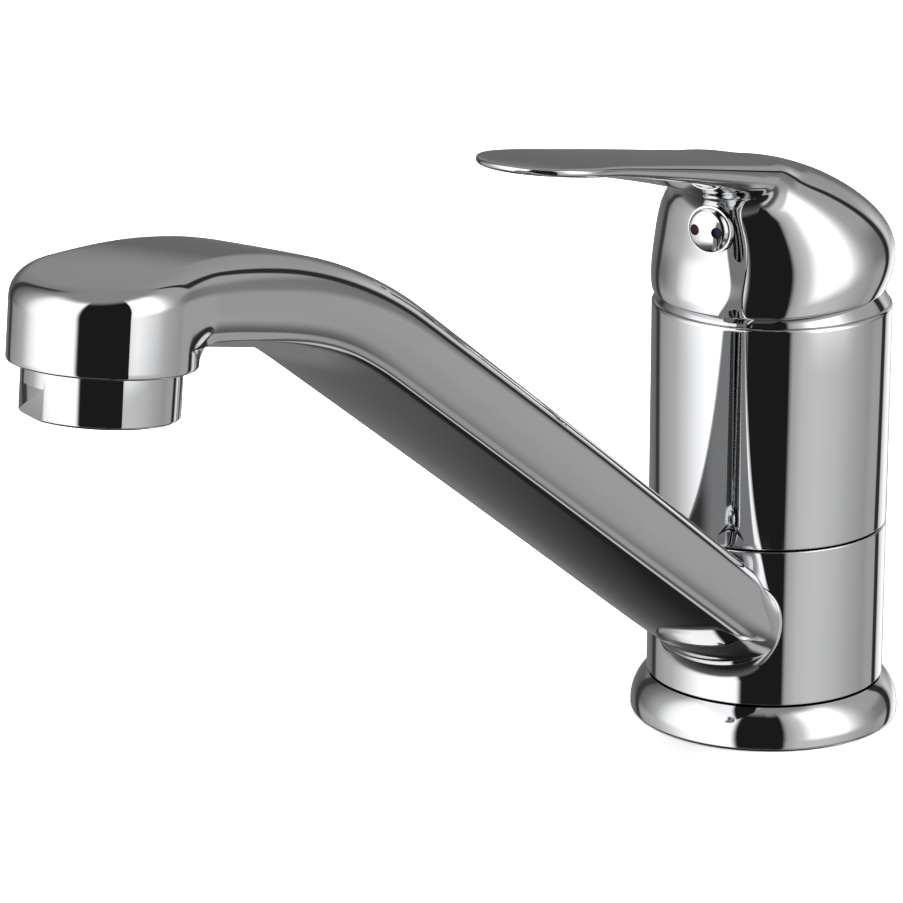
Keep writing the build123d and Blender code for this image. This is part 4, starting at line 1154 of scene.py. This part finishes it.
MID_ROUND = [
    (-180, 0.16), (-150, 0.13), (-144, 0.11), (-141, 0.05), (-134, 0.05), (-131, 0.13), (-120, 0.23),
    (-102, 0.52), *SOFT_BOXES, (98, 0.42), (112, 0.26), (129, 0.2), (131, 0.03), (138, 0.03),
    (141, 0.5), (145, 0.75), (154, 0.5), (168, 0.17), (180, 0.16),
]
HIGH_ROUND = [
    (-180, 0.33), (-144, 0.25), (-141, 0.05), (-134, 0.05), (-131, 0.13), (-120, 0.23),
    (-102, 0.5), *SOFT_BOXES, (98, 0.46), (112, 0.42), (129, 0.42), (131, 0.03), (138, 0.03),
    (141, 0.4), (150, 0.38), (180, 0.33),
]
UNDER_FALL = [(-90, 0.015), (-62, 0.02), (-56, 0.045), (-47, 0.08), (-38, 0.13), (-30, 0.17)]
UNDER_GLINT = [(-61, 0.0), (-57, 0.6), (-51, 0.6), (-46, 0.0)]


def ramp(tree, value, stops):
    """Grey by a 0 to 1 value; stops are (share along the ramp, brightness)."""
    node = tree.nodes.new("ShaderNodeValToRGB")
    elements = node.color_ramp.elements
    elements.remove(elements[-1])
    elements[0].position = stops[0][0]
    for position, _ in stops[1:]:
        elements.new(position)
    for element, (_, grey) in zip(elements, stops):
        element.color = (grey, grey, grey, 1)
    tree.links.new(value, node.inputs["Fac"])
    return node.outputs["Color"]


def height_share(tree, height, band):
    """Smooth 0 to 1 between two elevations, by the height of a unit direction."""
    return mapped(tree, height, from_range=[sin(radians(up)) for up in band], curve="SMOOTHSTEP")


def make_camera():
    camera_data = bpy.data.cameras.new("photo_camera")
    camera_data.sensor_width = CAMERA_SENSOR
    camera_data.lens = CAMERA_LENS
    camera = bpy.data.objects.new("photo_camera", camera_data)
    camera.location = CAMERA_PLACE
    camera.rotation_euler = (radians(CAMERA_TILT), 0, radians(CAMERA_TURN))
    bpy.context.scene.collection.objects.link(camera)
    bpy.context.scene.camera = camera
    bpy.context.scene.view_settings.view_transform = "Standard"


def make_sky():
    """Room that the chrome mirrors: soft boxes, their dark edges, ceiling and dim floor."""
    world = bpy.data.worlds.new("studio")
    bpy.context.scene.world = world
    world.use_nodes = True
    tree = world.node_tree
    direction = add_node(tree, "TexCoord", {}).outputs["Generated"]
    inputs = {"Vector": direction, "Angle": -atan2(CAMERA_PLACE[1], CAMERA_PLACE[0])}
    facing = add_node(tree, "VectorRotate", inputs, rotation_type="Z_AXIS").outputs["Vector"]
    ahead, right, height = add_node(tree, "SeparateXYZ", {"Vector": facing}).outputs
    angle = add_node(tree, "Math", {0: right, 1: ahead}, operation="ARCTAN2").outputs["Value"]
    around = mapped(tree, angle, from_range=(-pi, pi))
    low, mid, high = [
        ramp(tree, around, [(0.5 + side / 360, grey) for side, grey in stops])
        for stops in (LOW_ROUND, MID_ROUND, HIGH_ROUND)
    ]
    depth = mapped(tree, height, from_range=(-1.0, 0.0))
    fall, glint = [
        ramp(tree, depth, [(1 + sin(radians(up)), grey) for up, grey in stops])
        for stops in (UNDER_FALL, UNDER_GLINT)
    ]
    glint_share = mapped(tree, right, from_range=GLINT_SIDE, curve="SMOOTHSTEP")
    under = mixed(tree, glint_share, fall, glint, blend="ADD")
    room = mixed(tree, height_share(tree, height, MID_RISE), low, mid)
    room = mixed(tree, height_share(tree, height, HIGH_RISE), room, high)
    room = mixed(tree, height_share(tree, height, CEILING_RISE), room, (CEILING, CEILING, CEILING, 1))
    room = mixed(tree, height_share(tree, height, UNDER_SINK), room, under)
    tree.links.new(room, tree.nodes["Background"].inputs["Color"])


def make_floor():
    """Pale floor, which the chrome doesn't mirror."""
    bpy.ops.mesh.primitive_plane_add(size=FLOOR_SIZE)
    floor = bpy.context.object
    floor.name = "floor"
    material, tree, shader = finish("pale_floor", (FLOOR_GREY,) * 3, metallic=0.0, roughness=0.85)
    dark, light = (FLOOR_GREY - FLOOR_CLOUD,) * 3, (FLOOR_GREY + FLOOR_CLOUD,) * 3
    colour_by(tree, shader, noise(tree, scale=3, detail=2), dark, light)
    floor.data.materials.append(material)
    floor.visible_glossy = False


def make_flag():
    """Dark cloth beside the spout's head, fading into the ceiling; only reflections see it."""
    bpy.ops.mesh.primitive_plane_add(size=1.0)
    flag = bpy.context.object
    flag.name = "black_flag"
    run_x, run_y = FLAG_FAR[0] - FLAG_NEAR[0], FLAG_FAR[1] - FLAG_NEAR[1]
    flag.location = (*between(FLAG_NEAR, FLAG_FAR, 0.5), (FLAG_LOW + FLAG_HIGH) / 2)
    flag.rotation_euler = (pi / 2, 0, atan2(run_y, run_x))
    flag.scale = (hypot(run_x, run_y), FLAG_HIGH - FLAG_LOW, 1)
    settle(flag)
    material, tree, shader = finish("flag_cloth", (0.0, 0.0, 0.0), 0.0, 1.0, Specular_IOR_Level=0.0)
    shader.inputs["Emission Color"].default_value = (1, 1, 1, 1)
    head = (0.0, -HEAD_U * MM, HEAD_Z * MM)
    point = add_node(tree, "TexCoord", {}).outputs["Object"]
    point = add_node(tree, "VectorMath", {0: point, 1: head}, operation="SUBTRACT").outputs["Vector"]
    point = add_node(tree, "VectorMath", {0: point}, operation="NORMALIZE").outputs["Vector"]
    height = add_node(tree, "SeparateXYZ", {"Vector": point}).outputs["Z"]
    glow = mapped(tree, height_share(tree, height, CEILING_RISE), to_range=(BLACK, CEILING))
    tree.links.new(glow, shader.inputs["Emission Strength"])
    flag.data.materials.append(material)
    flag.visible_camera = flag.visible_diffuse = flag.visible_shadow = False


def make_light():
    """Broad soft light overhead, which the chrome doesn't mirror."""
    light_data = bpy.data.lights.new("overhead", "AREA")
    light_data.shape = "DISK"
    light_data.size = LIGHT_SIZE
    light_data.energy = LIGHT_WATTS
    light = bpy.data.objects.new("overhead", light_data)
    light.location = LIGHT_PLACE
    light.visible_glossy = light.visible_camera = False
    bpy.context.scene.collection.objects.link(light)


make_camera()
make_sky()
make_floor()
make_flag()
make_light()
